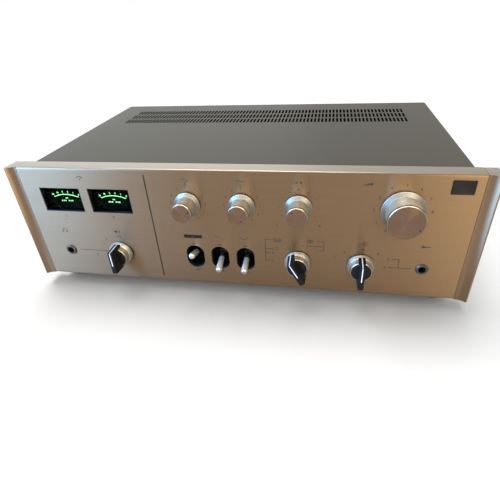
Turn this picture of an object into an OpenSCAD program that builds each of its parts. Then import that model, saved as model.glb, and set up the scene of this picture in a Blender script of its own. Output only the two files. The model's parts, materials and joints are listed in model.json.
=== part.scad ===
// Stereo amplifier with an aluminium front panel, turned knobs, lever switches and two level meters.
// Every sub-part is drawn in the panel's frame: x to the right, y back from the panel's face and
// z up from the panel's lower edge. place() then stands the whole amplifier on its feet, centred.

/* [Overall] */
// Width over both end caps
panel_w = 410; // [404:1:440]
// Height of the front panel
panel_h = 116; // [112:1:130]
// Depth from the panel's face to the back edge of the cover
body_d = 234; // [226:1:280]
// How far the sockets stand out behind the cover
rear_out = 10; // [8:0.5:14]
// Thickness of the folded steel sheet
sheet_t = 1.2; // [0.8:0.1:1.6]

/* [Front panel] */
// Thickness of the front plate
plate_t = 4; // [3.5:0.5:5]
// Depth of the lips along the top and bottom of the panel
lip_d = 15; // [14:0.5:18]
// Thickness of those lips
lip_t = 3; // [2:0.5:4]
// Radius of the panel's long front edges
edge_r = 1.6; // [0.8:0.1:2]
// Width of each end cap
cap_w = 10.5; // [9:0.5:13]
// How far the outer edge of an end cap stands forward of the plate
cap_out = 3.4; // [2:0.2:4]
// Radius of the hollow down an end cap's face
cap_hollow_r = 14; // [10:1:30]
// Width of the cap's flange behind the plate
cap_flange_w = 5.5; // [5:0.1:6]
// Thickness of the cap's flange
cap_flange_t = 3; // [2:0.5:4]
// Width of the engraved divider line
divider_w = 0.9; // [0.5:0.1:1.5]
// Depth of the engraved divider line
divider_d = 0.5; // [0.3:0.1:1]
// Distance of the divider's ends from the panel's edges
divider_end = 5; // [3:0.5:10]
// Distance of the divider from the plate's left end
divider_in = 121.2; // [118:0.1:124]
// Width of the bare plaque
badge_w = 16.4; // [10:0.1:18]
// Height of the bare plaque
badge_h = 11.3; // [8:0.1:13]
// Thickness of the bare plaque
badge_t = 0.8; // [0.5:0.1:1.5]
// Distance of the plaque's middle from the plate's right end
badge_in = 14.7; // [12:0.1:18]
// Distance of the plaque's middle from the panel's top
badge_down = 10.2; // [8:0.1:13]

/* [Cover and chassis] */
// Step from the plate's end in to the side of the cover
cover_step = 0.5; // [0:0.5:6]
// Step from the panel's top down to the top of the cover
cover_drop = 3; // [2:0.5:5]
// Outside radius of the cover's bends
bend_r = 4; // [2.5:0.5:7]
// Gap between the panel's lips and the cover
cover_gap = 0.4; // [0.3:0.1:1]
// Gap between the cover and the sheets inside it
sheet_gap = 0.3; // [0.2:0.1:0.6]
// How far the rear panel is set in from the cover's back edge
rear_inset = 1; // [0.5:0.5:3]
// Height of the chassis pan's side flanges
flange_h = 16; // [12:1:24]
// Depth of the foot flanges on the two upright panels
toe_d = 10; // [6:1:14]
// Width of a vent slot
slot_w = 2.3; // [1.5:0.1:3]
// Length of a vent slot
slot_len = 15; // [10:1:16]
// Distance from slot to slot along a row
slot_pitch = 4; // [3.5:0.1:6]
// Distance from row to row
row_pitch = 19; // [17:0.5:24]
// Slots in a row
slot_count = 81; // [41:2:81]
// Rows of slots
slot_rows = 3; // [2:1:3]
// Distance from the last row's back end to the back of the cover
vent_in = 29.5; // [24:0.5:40]
// Distance of the first and last cover screws from the ends of the cover
cover_screw_in = 26; // [18:1:40]

/* [Feet and screws] */
// Height of the feet
foot_h = 12; // [8:0.5:18]
// Radius of a foot at its top
foot_r = 12; // [10:0.5:14]
// How much a foot narrows towards the floor
foot_taper = 1; // [0:0.1:2]
// Radius of the hole for the screw's head in a foot
foot_recess_r = 4.5; // [4:0.1:6]
// Thickness of rubber under the chassis at the screw
foot_web = 4; // [3:0.5:5]
// Distance of the feet from the plate's ends
foot_in = 13; // [12:0.5:40]
// Distance of the front feet behind the panel's face
foot_front = 25; // [20:0.5:40]
// Distance of the back feet from the back of the cover
foot_back = 28; // [20:0.5:40]
// Radius of a screw's shank
screw_r = 1.5; // [1.2:0.1:2]
// Length of a screw's shank
screw_len = 6; // [5:0.1:6.5]
// Radius of a screw's head
screw_head_r = 2.6; // [2.4:0.1:2.7]
// Height of a screw's head
screw_head_h = 1.8; // [1.4:0.1:2.2]
// Room around a screw's shank
screw_gap = 0.1; // [0.05:0.05:0.3]
// Radius of the bosses behind the plate
boss_r = 3.2; // [2.8:0.1:3.4]
// Distance of the bosses from the panel's top and bottom edges
boss_edge = 14; // [10:1:18]
// Distance of the outer bosses from the plate's ends
boss_in = 9.6; // [9.2:0.1:10.5]
// Distance of the inner bosses outside the tone controls
boss_tone = 27; // [22:1:32]

/* [Control places] */
// Height of the upper row of controls above the panel's lower edge
row_hi = 85; // [82:0.5:88]
// Height of the lower row of controls above the panel's lower edge
row_lo = 30.2; // [28:0.1:33]
// Place of the bass control across the panel
tone_x = -37.2; // [-42:0.1:-34]
// Distance between the tone controls
tone_pitch = 47.7; // [44:0.1:50]
// Distance of the volume control from the plate's right end
volume_in = 54.5; // [50:0.1:58]
// Distance of the source switch from the plate's right end
source_in = 81.7; // [78:0.1:86]
// Distance of the aux jack from the plate's right end
aux_in = 31.2; // [26:0.1:36]
// Distance of the speaker switch from the plate's left end
speaker_in = 81.8; // [78:0.1:86]
// Distance of the headphone jack from the plate's left end
phones_in = 27.6; // [24:0.1:34]

/* [Turned knobs] */
// Radius of a tone knob's flange
tone_r = 11.2; // [10:0.1:13]
// Radius of a tone knob's face
tone_face_r = 8.7; // [7.5:0.1:9.5]
// Radius of the volume knob's flange
volume_r = 17; // [15.5:0.1:19]
// Radius of the volume knob's face
volume_face_r = 14.3; // [13:0.1:15]
// How far a turned knob's face stands out from the panel
knob_out = 19; // [17:0.5:20]
// How far the volume knob's face stands out from the panel
volume_out = 20.5; // [18:0.5:22]
// Gap between a knob and the panel
knob_gap = 1; // [0.6:0.1:1.5]
// Thickness of a knob's flange
knob_flange_t = 1.3; // [0.8:0.1:2]
// Height of the cone from the flange in to the knob's body
knob_slope = 1.3; // [0.6:0.1:2]
// Depth of the waist behind a knob's rim
knob_waist = 0.6; // [0.3:0.1:0.8]
// Height of a knob's rim
knob_rim = 2.4; // [1.5:0.1:4]
// Bevel round a knob's face
knob_bevel = 0.6; // [0.4:0.1:1.2]
// Small edges on the knobs, and the depth of the index dot
knob_edge = 0.3; // [0.2:0.1:0.5]
// Radius of the index dot
dot_r = 0.8; // [0.5:0.1:1.2]
// Distance of the index dot from a tone knob's rim
tone_dot_in = 2.9; // [2.5:0.1:4]
// Distance of the index dot from the volume knob's rim
volume_dot_in = 2.4; // [2.2:0.1:4]
// Angle of the volume knob, clockwise from the top
volume_turn = 120; // [-150:1:150]
// Angle of the bass knob
bass_turn = 80; // [-150:1:150]
// Angle of the treble knob
treble_turn = 150; // [-150:1:150]
// Angle of the balance knob
balance_turn = -40; // [-150:1:150]

/* [Pointer knobs] */
// Radius of a pointer knob's skirt at the panel
skirt_r = 12; // [11:0.1:14]
// Radius of the skirt at its step
skirt_step_r = 10.5; // [10:0.1:10.9]
// Radius of the skirt's front rim
skirt_rim_r = 9.4; // [8.8:0.1:9.8]
// How far the skirt stands out from the panel
skirt_out = 10.4; // [9.5:0.1:11]
// How far the skirt's step stands out from the panel
skirt_step_out = 5.4; // [4.5:0.1:6]
// Depth of the groove at the skirt's step
skirt_groove = 0.4; // [0.2:0.1:0.5]
// Radius of the black hub inside the skirt
hub_r = 8.4; // [7.8:0.1:8.6]
// Depth of the hub below the skirt's rim
hub_d = 2; // [1.8:0.1:2.5]
// Thickness of the hub in front of the shaft
hub_wall = 1; // [0.5:0.1:1.4]
// Length of the pointer bar
bar_len = 23; // [21:0.5:24]
// Width of the pointer bar at its base
bar_w = 6; // [5:0.1:7]
// Width of the pointer bar along its ridge
bar_ridge_w = 4.6; // [3.5:0.1:5]
// How far the pointer bar stands out from the panel
bar_out = 20.5; // [20:0.5:24]
// How far out the bar's underside lies
bar_base_out = 4.2; // [3.5:0.1:5]
// Room between the bar and its slot in the skirt
bar_gap = 0.05; // [0.02:0.01:0.2]
// Angle of the speaker switch, clockwise from the top
speaker_turn = 0; // [-120:30:0]
// Angle of the mode switch
mode_turn = -30; // [-90:30:30]
// Angle of the source switch
source_turn = 0; // [-60:30:90]

/* [Shafts and switch bodies] */
// Radius of a control shaft
shaft_r = 3; // [2.5:0.1:3.2]
// Room between a shaft and its bushing, and between a shaft and its knob
shaft_gap = 0.05; // [0.02:0.01:0.1]
// Thickness of the knob's face in front of the shaft
knob_face_wall = 4; // [3:0.5:6]
// Room at each end of a shaft
shaft_end_gap = 0.5; // [0.3:0.1:1]
// How far a shaft runs in behind the subpanel
shaft_in = 9; // [6:0.5:12]
// Room around a shaft in the plate
shaft_room = 1; // [0.5:0.1:1.5]
// Radius of a control's threaded bushing
bushing_r = 4.5; // [4:0.1:5]
// Room around a bushing in the subpanel and in its nut
bushing_gap = 0.1; // [0.05:0.05:0.3]
// Gap between the plate's back and the front of a bushing
bushing_front = 2; // [1:0.5:4]
// Width across the corners of a control nut
nut_w = 14; // [12:0.5:16]
// Thickness of a control nut
nut_t = 2.4; // [2:0.1:3]
// Radius of a potentiometer's can
pot_r = 12; // [10:0.5:13]
// Length of a potentiometer's can
pot_len = 18; // [15:0.5:24]
// Radius of a rotary switch's wafers
wafer_r = 12.5; // [11:0.5:13]
// Thickness of a wafer
wafer_t = 1.6; // [1.2:0.1:2]
// Distance from wafer to wafer
wafer_pitch = 9; // [7:0.5:12]
// Wafers in a rotary switch
wafer_count = 3; // [2:1:4]
// Radius of the spacer rods and core between the wafers
wafer_core_r = 6; // [5:0.5:8]

/* [Lever switches] */
// Width of the oval opening around a lever
oval_w = 16; // [14.5:0.1:17]
// Height of the oval opening
oval_h = 23.3; // [21:0.1:26]
// Wall of the black cup behind the opening
cup_t = 1.2; // [0.8:0.1:1.6]
// Depth of the cup behind the plate
cup_d = 8; // [7:0.5:9]
// Width of the slot in the cup's floor
cup_slot_w = 7.2; // [6.8:0.1:7.4]
// Height of the slot in the cup's floor
cup_slot_h = 11; // [10:0.5:14]
// Distance of a lever's pivot behind the cup
pivot_in = 2; // [1.5:0.1:3]
// Length of a lever from its pivot to its tip
lever_len = 26.5; // [24:0.5:29]
// Radius of a lever at its tip
lever_tip_r = 2.8; // [2.2:0.1:3]
// Radius of a lever at its root
lever_root_r = 2.3; // [1.6:0.1:2.4]
// Angle of a lever above or below the level
lever_tilt = 16; // [12:1:18]
// Radius of a lever's hub
lever_hub_r = 3.2; // [2.8:0.1:3.4]
// Width of a lever's hub
lever_hub_w = 6.2; // [5:0.1:6.4]
// Length of the lever's tail behind its pivot
lever_tail = 8; // [6:0.5:9]
// Radius of the pivot pins
pin_r = 1.2; // [0.9:0.1:1.4]
// Room around a pivot pin
pin_gap = 0.05; // [0.02:0.01:0.08]
// Width of a lever switch
switch_w = 12; // [11:0.5:13]
// Height of a lever switch
switch_h = 20; // [18:0.5:22]
// Depth of a lever switch
switch_d = 24; // [20:1:28]
// Width of the hollow in a lever switch
switch_hollow_w = 7; // [6.8:0.1:7.6]
// Height of the hollow in a lever switch
switch_hollow_h = 14; // [13:0.5:16]
// Depth of the hollow in a lever switch
switch_hollow_d = 14; // [13:0.5:16]

/* [Jacks] */
// Radius of a jack's bore
jack_bore_r = 3.2; // [3.1:0.05:3.3]
// Depth of a jack's bore
jack_bore_d = 32; // [30:1:36]
// Radius of a jack's bushing
jack_r = 4.2; // [3.9:0.1:4.6]
// Room around the bushing in the two panels and in its nut
jack_gap = 0.1; // [0.05:0.05:0.3]
// Radius of a jack's ring nut
jack_nut_r = 5.2; // [5:0.1:6]
// Thickness of a jack's ring nut
jack_nut_t = 1.4; // [1:0.1:2]
// Width of a jack's body
jack_w = 16; // [14:0.5:18]
// Height of a jack's body
jack_h = 20; // [18:0.5:22]
// Thickness behind a jack's bore
jack_back = 3; // [2:0.5:5]

/* [Meters] */
// Width of a meter's window
window_w = 38.5; // [36:0.1:40]
// Height of a meter's window
window_h = 22.3; // [20:0.1:24]
// Height of a window's middle above the panel's lower edge
window_z = 84.9; // [83:0.1:86]
// Distance of the first meter from the plate's left end
meter_in = 36.1; // [35.5:0.1:37]
// Distance between the meters
meter_pitch = 47.8; // [46.5:0.1:49]
// How far a lens is set back from the panel's face
lens_in = 1.2; // [0.5:0.1:2]
// Room around a lens in its window
lens_gap = 0.1; // [0.05:0.05:0.3]
// How far a lens's flange reaches past its window
lens_lap = 1.3; // [0.8:0.1:1.4]
// Thickness of a lens's flange
lens_flange_t = 1; // [0.6:0.1:1.2]
// Distance of the scale behind the plate
scale_in = 3; // [2.8:0.1:4]
// Thickness of the scale
scale_t = 0.8; // [0.5:0.1:1.2]
// Height of the needle's pivot above the panel's lower edge
needle_z = 57; // [55:0.5:59]
// Length of a needle from its pivot
needle_len = 29; // [26:0.5:31]
// Width of a needle at its hub
needle_w = 1; // [0.6:0.1:1.4]
// Thickness of a needle
needle_t = 0.4; // [0.3:0.1:0.6]
// Distance of a needle in front of the scale
needle_gap = 0.8; // [0.6:0.1:1]
// Radius of a needle's hub
needle_hub_r = 2.4; // [1.8:0.1:3]
// Radius of a needle's spindle
spindle_r = 0.7; // [0.5:0.05:0.9]
// Angle of a resting needle, left of upright
needle_tilt = 29; // [25:1:32]
// Wall of a meter's case
case_t = 1.5; // [1:0.1:1.6]
// How far a case reaches past its window at the sides and top
case_lap = 3; // [2.9:0.1:3.2]
// How far a case reaches below the needle's pivot
case_below = 13; // [12:0.5:13.5]
// Depth of a meter's case
case_d = 27; // [24:1:32]
// Radius of a meter's magnet
magnet_r = 9.5; // [8:0.5:10]
// Radius of a meter's lamp
lamp_r = 3; // [2:0.5:3.5]
// Length of a meter's lamp
lamp_len = 24; // [18:1:30]

/* [Inside] */
// Thickness of the circuit boards
board_t = 1.6; // [1:0.1:2]
// Height of the tone board
tone_board_h = 38; // [32:1:40]
// How far the tone board reaches past the first and last control
tone_board_end = 15; // [13:1:18]
// Depth of the main board
main_board_d = 85; // [70:1:90]
// Height of the board's standoffs
standoff_h = 9; // [6:0.5:12]
// Radius of the standoffs
standoff_r = 3; // [2.5:0.1:4]
// Radius of the peg on a standoff
peg_r = 1.4; // [1:0.1:1.8]
// Distance of the standoffs from the board's edges
standoff_in = 7; // [5:1:12]
// Width of the heat sink
sink_w = 205; // [180:1:210]
// Height of the heat sink
sink_h = 88; // [70:1:92]
// Thickness of the heat sink's base
sink_base = 6; // [4:0.5:8]
// Length of the fins
fin_len = 36; // [28:1:38]
// Thickness of the fins
fin_t = 2; // [1.5:0.1:2.5]
// Number of fins
fin_count = 19; // [11:1:23]
// Distance of the fins' ends from the back of the cover
sink_back = 32; // [31:1:40]
// Radius of an output transistor's can
transistor_r = 10; // [8:0.5:11]
// Height of an output transistor's can
transistor_h = 7; // [5:0.5:9]
// Radius of an output transistor's flange around its can
transistor_flange_r = 12; // [11.5:0.5:13]
// Distance from an output transistor's middle to the round end of its flange
transistor_ear = 15; // [13:0.5:16]
// Number of output transistors
transistor_count = 4; // [2:1:4]
// Distance between the output transistors
transistor_pitch = 46; // [42:1:48]
// Gap between the transistors and the main board
transistor_room = 5; // [4:0.5:10]
// Radius of a filter capacitor
filter_r = 17.5; // [15:0.5:19]
// Height of a filter capacitor
filter_h = 62; // [50:1:75]
// Height of the rolled rim round a filter capacitor's top
filter_rim = 1.5; // [1:0.1:2]
// Distance between the filter capacitors
filter_pitch = 42; // [40:1:50]
// Distance of the transformer's middle behind the subpanel
core_back = 94; // [88:1:120]
// Width of the transformer's core
core_w = 84; // [80:1:88]
// Height of the transformer's core
core_h = 70; // [60:1:80]
// Depth of the transformer's core
core_d = 40; // [30:1:46]
// Width of a leg of the core
core_leg = 14; // [12:0.5:15]
// Room between the coil and the core
coil_gap = 0.3; // [0.2:0.1:0.6]
// How far the coil stands out at the front and back of the core
coil_out = 13; // [8:0.5:16]

/* [Back] */
// Radius of a phono socket's shell
phono_r = 4.15; // [4.1:0.01:4.2]
// Length of a phono socket's shell
phono_len = 9; // [8:0.5:9.5]
// Radius of a phono socket's flange
phono_flange_r = 6.2; // [5.5:0.1:7]
// Radius of the hole in a phono socket
phono_hole_r = 1.7; // [1.5:0.1:2]
// Depth of the hole in a phono socket
phono_hole_d = 8; // [6:0.5:9]
// Length of a phono socket behind the rear panel
phono_in = 9; // [6:0.5:12]
// Distance from socket to socket across
phono_pitch = 20; // [17:0.5:21]
// Distance from the upper sockets to the lower ones
phono_drop = 22; // [18:0.5:26]
// Columns of phono sockets
phono_cols = 6; // [3:1:6]
// Distance of the last column from the plate's right end
phono_edge = 24.5; // [20:0.5:30]
// Height of the lower phono sockets
phono_z = 40; // [32:1:50]
// Room around what passes through the rear panel
rear_gap = 0.1; // [0.05:0.05:0.3]
// Width of a speaker terminal block
block_w = 84; // [76:1:90]
// Height of a speaker terminal block
block_h = 20; // [16:0.5:24]
// Thickness of a speaker terminal block
block_t = 5; // [4:0.5:5.5]
// How far the ribs between the terminals stand out from the block
rib_out = 4; // [3:0.5:4.5]
// Thickness of those ribs
rib_t = 2; // [1.5:0.1:3]
// Terminals on a block
terminal_count = 4; // [2:1:4]
// Place of the terminal blocks across the case
block_x = -40; // [-50:1:-36]
// Height of the lower terminal block
block_z = 36; // [30:1:40]
// Distance from the lower terminal block to the upper one
block_rise = 32; // [26:1:36]
// Radius of a terminal screw's head
terminal_r = 4; // [3:0.1:5]
// Height of a terminal screw's head
terminal_h = 2; // [1.5:0.1:2.5]
// Place of the ground terminal across the case
ground_x = 30; // [24:1:40]
// Height of the ground terminal
ground_z = 51; // [40:1:60]
// Radius of the ground terminal's head
ground_r = 5; // [4:0.1:6]
// Distance of the mains cord gland from the plate's left end
gland_in = 30; // [24:1:40]
// Height of the mains cord gland
gland_z = 30; // [26:1:50]
// Radius of the gland's bore
gland_bore_r = 3.8; // [3:0.1:4.5]
// Radius of the gland's neck
gland_r = 6.5; // [6:0.1:8]
// Radius of the gland's flanges
gland_flange_r = 9; // [8.5:0.1:11]
// Thickness of the gland's flanges
gland_flange_t = 3.5; // [2.5:0.1:5]

/* [Hidden] */
$fn = 96;
// How far a cut runs past what it cuts
over = 1;

half_w = panel_w / 2;
plate_half = half_w - cap_w;
cover_half = plate_half - cover_step;
box_half = cover_half - sheet_t - sheet_gap;
roof = panel_h - cover_drop - sheet_t;
sub_back = lip_d + sheet_t;
rear_face = body_d - rear_inset;
rear_inner = rear_face - sheet_t;
front_out = max(bar_out, knob_out, volume_out);
front_y = front_out - (front_out + body_d + rear_out) / 2;

treble_x = tone_x + tone_pitch;
balance_x = tone_x + 2 * tone_pitch;
mode_x = balance_x;
volume_x = plate_half - volume_in;
source_x = plate_half - source_in;
speaker_x = speaker_in - plate_half;
tone_xs = [tone_x, treble_x, balance_x];
pot_xs = concat(tone_xs, [volume_x]);
rotary_xs = [speaker_x, mode_x, source_x];
lever_xs = [for (i = [0 : 2]) tone_x + i * tone_pitch / 2];
jack_xs = [phones_in - plate_half, plate_half - aux_in];
meter_xs = [for (i = [0 : 1]) meter_in - plate_half + i * meter_pitch];
boss_xs = [boss_in - plate_half, tone_x - boss_tone, balance_x + boss_tone, plate_half - boss_in];
boss_zs = [boss_edge, panel_h - boss_edge];
foot_xs = [foot_in - plate_half, plate_half - foot_in];
foot_ys = [foot_front, body_d - foot_back];

cap_screw_x = plate_half - cap_flange_w / 2;
cover_start = lip_d + cover_gap;
cover_screw_ys = [cover_start + cover_screw_in, (cover_start + body_d) / 2, body_d - cover_screw_in];
cover_screw_z = flange_h / 2;
vent_back = body_d - vent_in;
plate_hole_r = shaft_r + shaft_room;
bar_bore_out = skirt_out - knob_edge - hub_wall;
cup_back = plate_t + cup_d;
pivot_y = cup_back + pivot_in;
case_half = window_w / 2 + case_lap;
case_low = needle_z - case_below;
case_high = window_z + window_h / 2 + case_lap;
scale_y = plate_t + scale_in;
spindle_in = plate_t + case_d / 2;
magnet_y = scale_y + scale_t + case_t;
pot_back = sub_back + pot_len;
inside_half = box_half - sheet_t;
// The gap beside the heat sink, the capacitors and the transformer, which share what width is left
inner_room = (2 * inside_half - sink_w - 2 * filter_r - core_w) / 4;
sink_x = inside_half - inner_room - sink_w / 2;
sink_y = body_d - sink_back - fin_len - sink_base;
transistor_base = board_t;
main_board_y = sink_y - transistor_base - transistor_h - transistor_room - main_board_d;
main_board_z = sheet_t + standoff_h;
filter_x = sink_x - sink_w / 2 - inner_room - filter_r;
filter_y = sub_back + core_back;
core_x = inner_room + core_w / 2 - inside_half;
core_y = sub_back + core_back;
coil_w = core_w - 2 * core_leg - 2 * coil_gap;
coil_leg = 2 * core_leg + 2 * coil_gap;
phono_xs = [for (i = [0 : phono_cols - 1]) plate_half - phono_edge - i * phono_pitch];
phono_zs = [phono_z, phono_z + phono_drop];
block_zs = [block_z, block_z + block_rise];
terminal_pitch = (block_w - rib_t) / terminal_count;
gland_x = gland_in - plate_half;

// Stands the panel's frame on the feet, with the origin under the middle of the whole amplifier
module place() {
    translate([0, front_y, foot_h]) children();
}

// A box between two corners
module block(low, high) {
    translate(low) cube(high - low);
}

// A round bar along y
module rod_y(x, z, r, y0, y1) {
    translate([x, y0, z]) rotate([-90, 0, 0]) cylinder(r = r, h = y1 - y0);
}

// A frame on the panel's face whose z points out at the viewer, turned clockwise from the top
module on_face(x, z, turn = 0) {
    translate([x, 0, z]) rotate([90, 0, 0]) rotate([0, 0, -turn]) children();
}

// A flat outline of x and z, pushed back along y
module slab_y(y0, y1) {
    translate([0, y1, 0]) rotate([90, 0, 0]) linear_extrude(y1 - y0) children();
}

// An upright oval outline
module oval(w, h) {
    square([w, h - w], center = true);
    for (side = [-1, 1]) translate([0, side * (h - w) / 2]) circle(d = w);
}

// The cover's outline seen from the front, drawn in by an inset
module case_outline(inset) {
    half = cover_half - inset;
    top = panel_h - cover_drop - inset;
    r = max(bend_r - inset, sheet_t / 2);
    translate([-half, 0]) square([2 * half, top - r]);
    translate([r - half, 0]) square([2 * (half - r), top]);
    for (side = [-1, 1]) translate([side * (half - r), top - r]) circle(r);
}

// An upright sheet that fills the case's outline above the chassis pan
module bulkhead(y0) {
    slab_y(y0, y0 + sheet_t) intersection() {
        case_outline(sheet_t + sheet_gap);
        translate([-half_w, sheet_t]) square([panel_w, panel_h]);
    }
}

// A screw whose head sits on z = 0 and whose shank points down
module screw() {
    cylinder(r = screw_head_r, h = screw_head_h);
    translate([0, 0, -screw_len]) cylinder(r = screw_r, h = screw_len);
}

module fascia() {
    color("#b7aea3") difference() {
        union() {
            translate([-plate_half, 0, 0]) rotate([90, 0, 90]) {
                linear_extrude(2 * plate_half) fascia_section();
            }
            for (x = boss_xs, z = boss_zs) rod_y(x, z, boss_r, plate_t, lip_d);
        }
        fascia_openings();
        for (x = boss_xs, z = boss_zs) {
            rod_y(x, z, screw_r + screw_gap, sub_back - screw_len - screw_gap, lip_d + over);
        }
        for (side = [-1, 1], z = boss_zs) {
            hole_end = plate_t + cap_flange_t - screw_len - screw_gap;
            rod_y(side * cap_screw_x, z, screw_r + screw_gap, hole_end, plate_t + over);
        }
        divider_x = divider_in - plate_half;
        block(
            [divider_x - divider_w / 2, -over, divider_end],
            [divider_x + divider_w / 2, divider_d, panel_h - divider_end]
        );
    }
}

// The panel's section: a plate with a lip along its top and bottom and round front edges
module fascia_section() {
    difference() {
        union() {
            translate([edge_r, 0]) square([lip_d - edge_r, panel_h]);
            translate([0, edge_r]) square([lip_d, panel_h - 2 * edge_r]);
            for (z = [edge_r, panel_h - edge_r]) translate([edge_r, z]) circle(edge_r);
        }
        translate([plate_t, lip_t]) square([lip_d, panel_h - 2 * lip_t]);
    }
}

module fascia_openings() {
    for (x = pot_xs) rod_y(x, row_hi, plate_hole_r, -over, plate_t + over);
    for (x = rotary_xs) rod_y(x, row_lo, plate_hole_r, -over, plate_t + over);
    for (x = jack_xs) rod_y(x, row_lo, jack_r + jack_gap, -over, plate_t + over);
    slab_y(-over, plate_t + over) {
        for (x = lever_xs) translate([x, row_lo]) oval(oval_w, oval_h);
        for (x = meter_xs) translate([x, window_z]) square([window_w, window_h], center = true);
    }
}

// The right end cap: a bar with a hollow face, and a flange that is screwed behind the plate
module end_cap() {
    inner = plate_half + sheet_gap;
    lip = cap_out / 2;
    rim_x = half_w - lip;
    chord = [rim_x - inner, -cap_out];
    reach = sqrt(pow(cap_hollow_r, 2) - pow(norm(chord) / 2, 2));
    middle = [inner, 0] + chord / 2;
    hollow = middle + reach * [chord.y, -chord.x] / norm(chord);
    linear_extrude(panel_h) difference() {
        union() {
            translate([inner, lip - cap_out]) square([half_w - inner, lip_d + cap_out - lip]);
            translate([inner, -cap_out]) square([rim_x - inner, lip]);
            translate([rim_x, lip - cap_out]) circle(lip);
        }
        translate(hollow) circle(cap_hollow_r);
    }
    difference() {
        block(
            [plate_half - cap_flange_w, plate_t, lip_t + sheet_gap],
            [inner, plate_t + cap_flange_t, panel_h - lip_t - sheet_gap]
        );
        for (z = boss_zs) {
            rod_y(cap_screw_x, z, screw_r + screw_gap, plate_t - over, plate_t + cap_flange_t + over);
        }
    }
}

module left_end_cap() {
    color("#8f8171") mirror([1, 0, 0]) end_cap();
}

module right_end_cap() {
    color("#8f8171") end_cap();
}

module panel_screws() {
    color("silver") {
        for (x = boss_xs, z = boss_zs) translate([x, sub_back, z]) rotate([-90, 0, 0]) screw();
        for (side = [-1, 1], z = boss_zs) {
            translate([side * cap_screw_x, plate_t + cap_flange_t, z]) rotate([-90, 0, 0]) screw();
        }
    }
}

module top_cover() {
    color("#6b6761") difference() {
        slab_y(cover_start, body_d) difference() {
            case_outline(0);
            case_outline(sheet_t);
            translate([-box_half - sheet_gap, -over]) square([2 * (box_half + sheet_gap), roof / 2]);
        }
        translate([0, 0, roof - over]) linear_extrude(sheet_t + 2 * over) vent_slots();
        for (side = [-1, 1], y = cover_screw_ys) translate([side * cover_half, y, cover_screw_z]) {
            rotate([0, 90, 0]) cylinder(r = screw_r + screw_gap, h = 2 * (sheet_t + over), center = true);
        }
    }
}

module vent_slots() {
    for (row = [0 : slot_rows - 1], i = [0 : slot_count - 1]) {
        x = (i - (slot_count - 1) / 2) * slot_pitch;
        translate([x - slot_w / 2, vent_back - slot_len - row * row_pitch]) square([slot_w, slot_len]);
    }
}

module case_screws() {
    color("#3a3a3a") {
        for (side = [-1, 1], y = cover_screw_ys) {
            translate([side * cover_half, y, cover_screw_z]) rotate([0, side * 90, 0]) screw();
        }
        for (x = foot_xs, y = foot_ys) translate([x, y, -foot_web]) rotate([180, 0, 0]) screw();
    }
}

module chassis_pan() {
    color("#a9a9a2") difference() {
        union() {
            block([-box_half, lip_d, 0], [box_half, rear_face, sheet_t]);
            for (side = [-1, 1]) {
                inner = box_half - sheet_t / 2;
                translate([side * inner - sheet_t / 2, sub_back + sheet_gap, 0]) {
                    cube([sheet_t, rear_inner - sub_back - 2 * sheet_gap, flange_h]);
                }
            }
        }
        for (side = [-1, 1], y = cover_screw_ys) translate([side * box_half, y, cover_screw_z]) {
            rotate([0, 90, 0]) cylinder(r = screw_r + screw_gap, h = 2 * (sheet_t + over), center = true);
        }
        for (x = foot_xs, y = foot_ys) translate([x, y, -over]) {
            cylinder(r = screw_r + screw_gap, h = sheet_t + 2 * over);
        }
        translate([0, 0, -over]) linear_extrude(sheet_t + 2 * over) pan_slots();
    }
}

// Air slots between the fins, in the floor under the heat sink
module pan_slots() {
    step = (sink_w - fin_t) / (fin_count - 1);
    first = sink_x - sink_w / 2 + fin_t / 2;
    for (i = [0 : fin_count - 2]) {
        translate([first + (i + 0.5) * step - slot_w / 2, sink_y + sink_base + slot_w]) {
            square([slot_w, fin_len - 2 * slot_w]);
        }
    }
}

module subpanel() {
    color("#8d8d88") difference() {
        union() {
            bulkhead(lip_d);
            toe_half = inside_half - sheet_gap;
            block([-toe_half, sub_back, sheet_t], [toe_half, sub_back + toe_d, 2 * sheet_t]);
        }
        for (x = pot_xs) rod_y(x, row_hi, bushing_r + bushing_gap, lip_d - over, sub_back + over);
        for (x = rotary_xs) rod_y(x, row_lo, bushing_r + bushing_gap, lip_d - over, sub_back + over);
        for (x = jack_xs) rod_y(x, row_lo, jack_r + jack_gap, lip_d - over, sub_back + over);
        for (x = boss_xs, z = boss_zs) rod_y(x, z, screw_r + screw_gap, lip_d - over, sub_back + over);
        slab_y(lip_d - over, sub_back + over) {
            for (x = lever_xs) translate([x, row_lo]) {
                square([switch_w + 2 * sheet_gap, switch_h + 2 * sheet_gap], center = true);
            }
            for (x = meter_xs) translate([x - case_half - sheet_gap, case_low - sheet_gap]) {
                square([2 * (case_half + sheet_gap), case_high - case_low + 2 * sheet_gap]);
            }
        }
        // Room above the floor screws of the front feet
        for (x = foot_xs) translate([x, foot_front, sheet_t - over]) {
            cylinder(r = screw_head_r, h = sheet_t + 2 * over);
        }
    }
}

module rear_panel() {
    color("#8d8d88") difference() {
        union() {
            bulkhead(rear_inner);
            toe_half = inside_half - sheet_gap;
            block([-toe_half, rear_inner - toe_d, sheet_t], [toe_half, rear_inner, 2 * sheet_t]);
        }
        for (x = phono_xs, z = phono_zs) {
            rod_y(x, z, phono_r + rear_gap, rear_inner - over, rear_face + over);
        }
        rod_y(ground_x, ground_z, screw_r + screw_gap, rear_inner - over, rear_face + over);
        rod_y(gland_x, gland_z, gland_r + rear_gap, rear_inner - over, rear_face + over);
        for (z = block_zs) block(
            [block_x - block_w / 2 + block_t - rear_gap, rear_inner - over, z - block_h / 4 - rear_gap],
            [block_x + block_w / 2 - block_t + rear_gap, rear_face + over, z + block_h / 4 + rear_gap]
        );
    }
}

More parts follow.
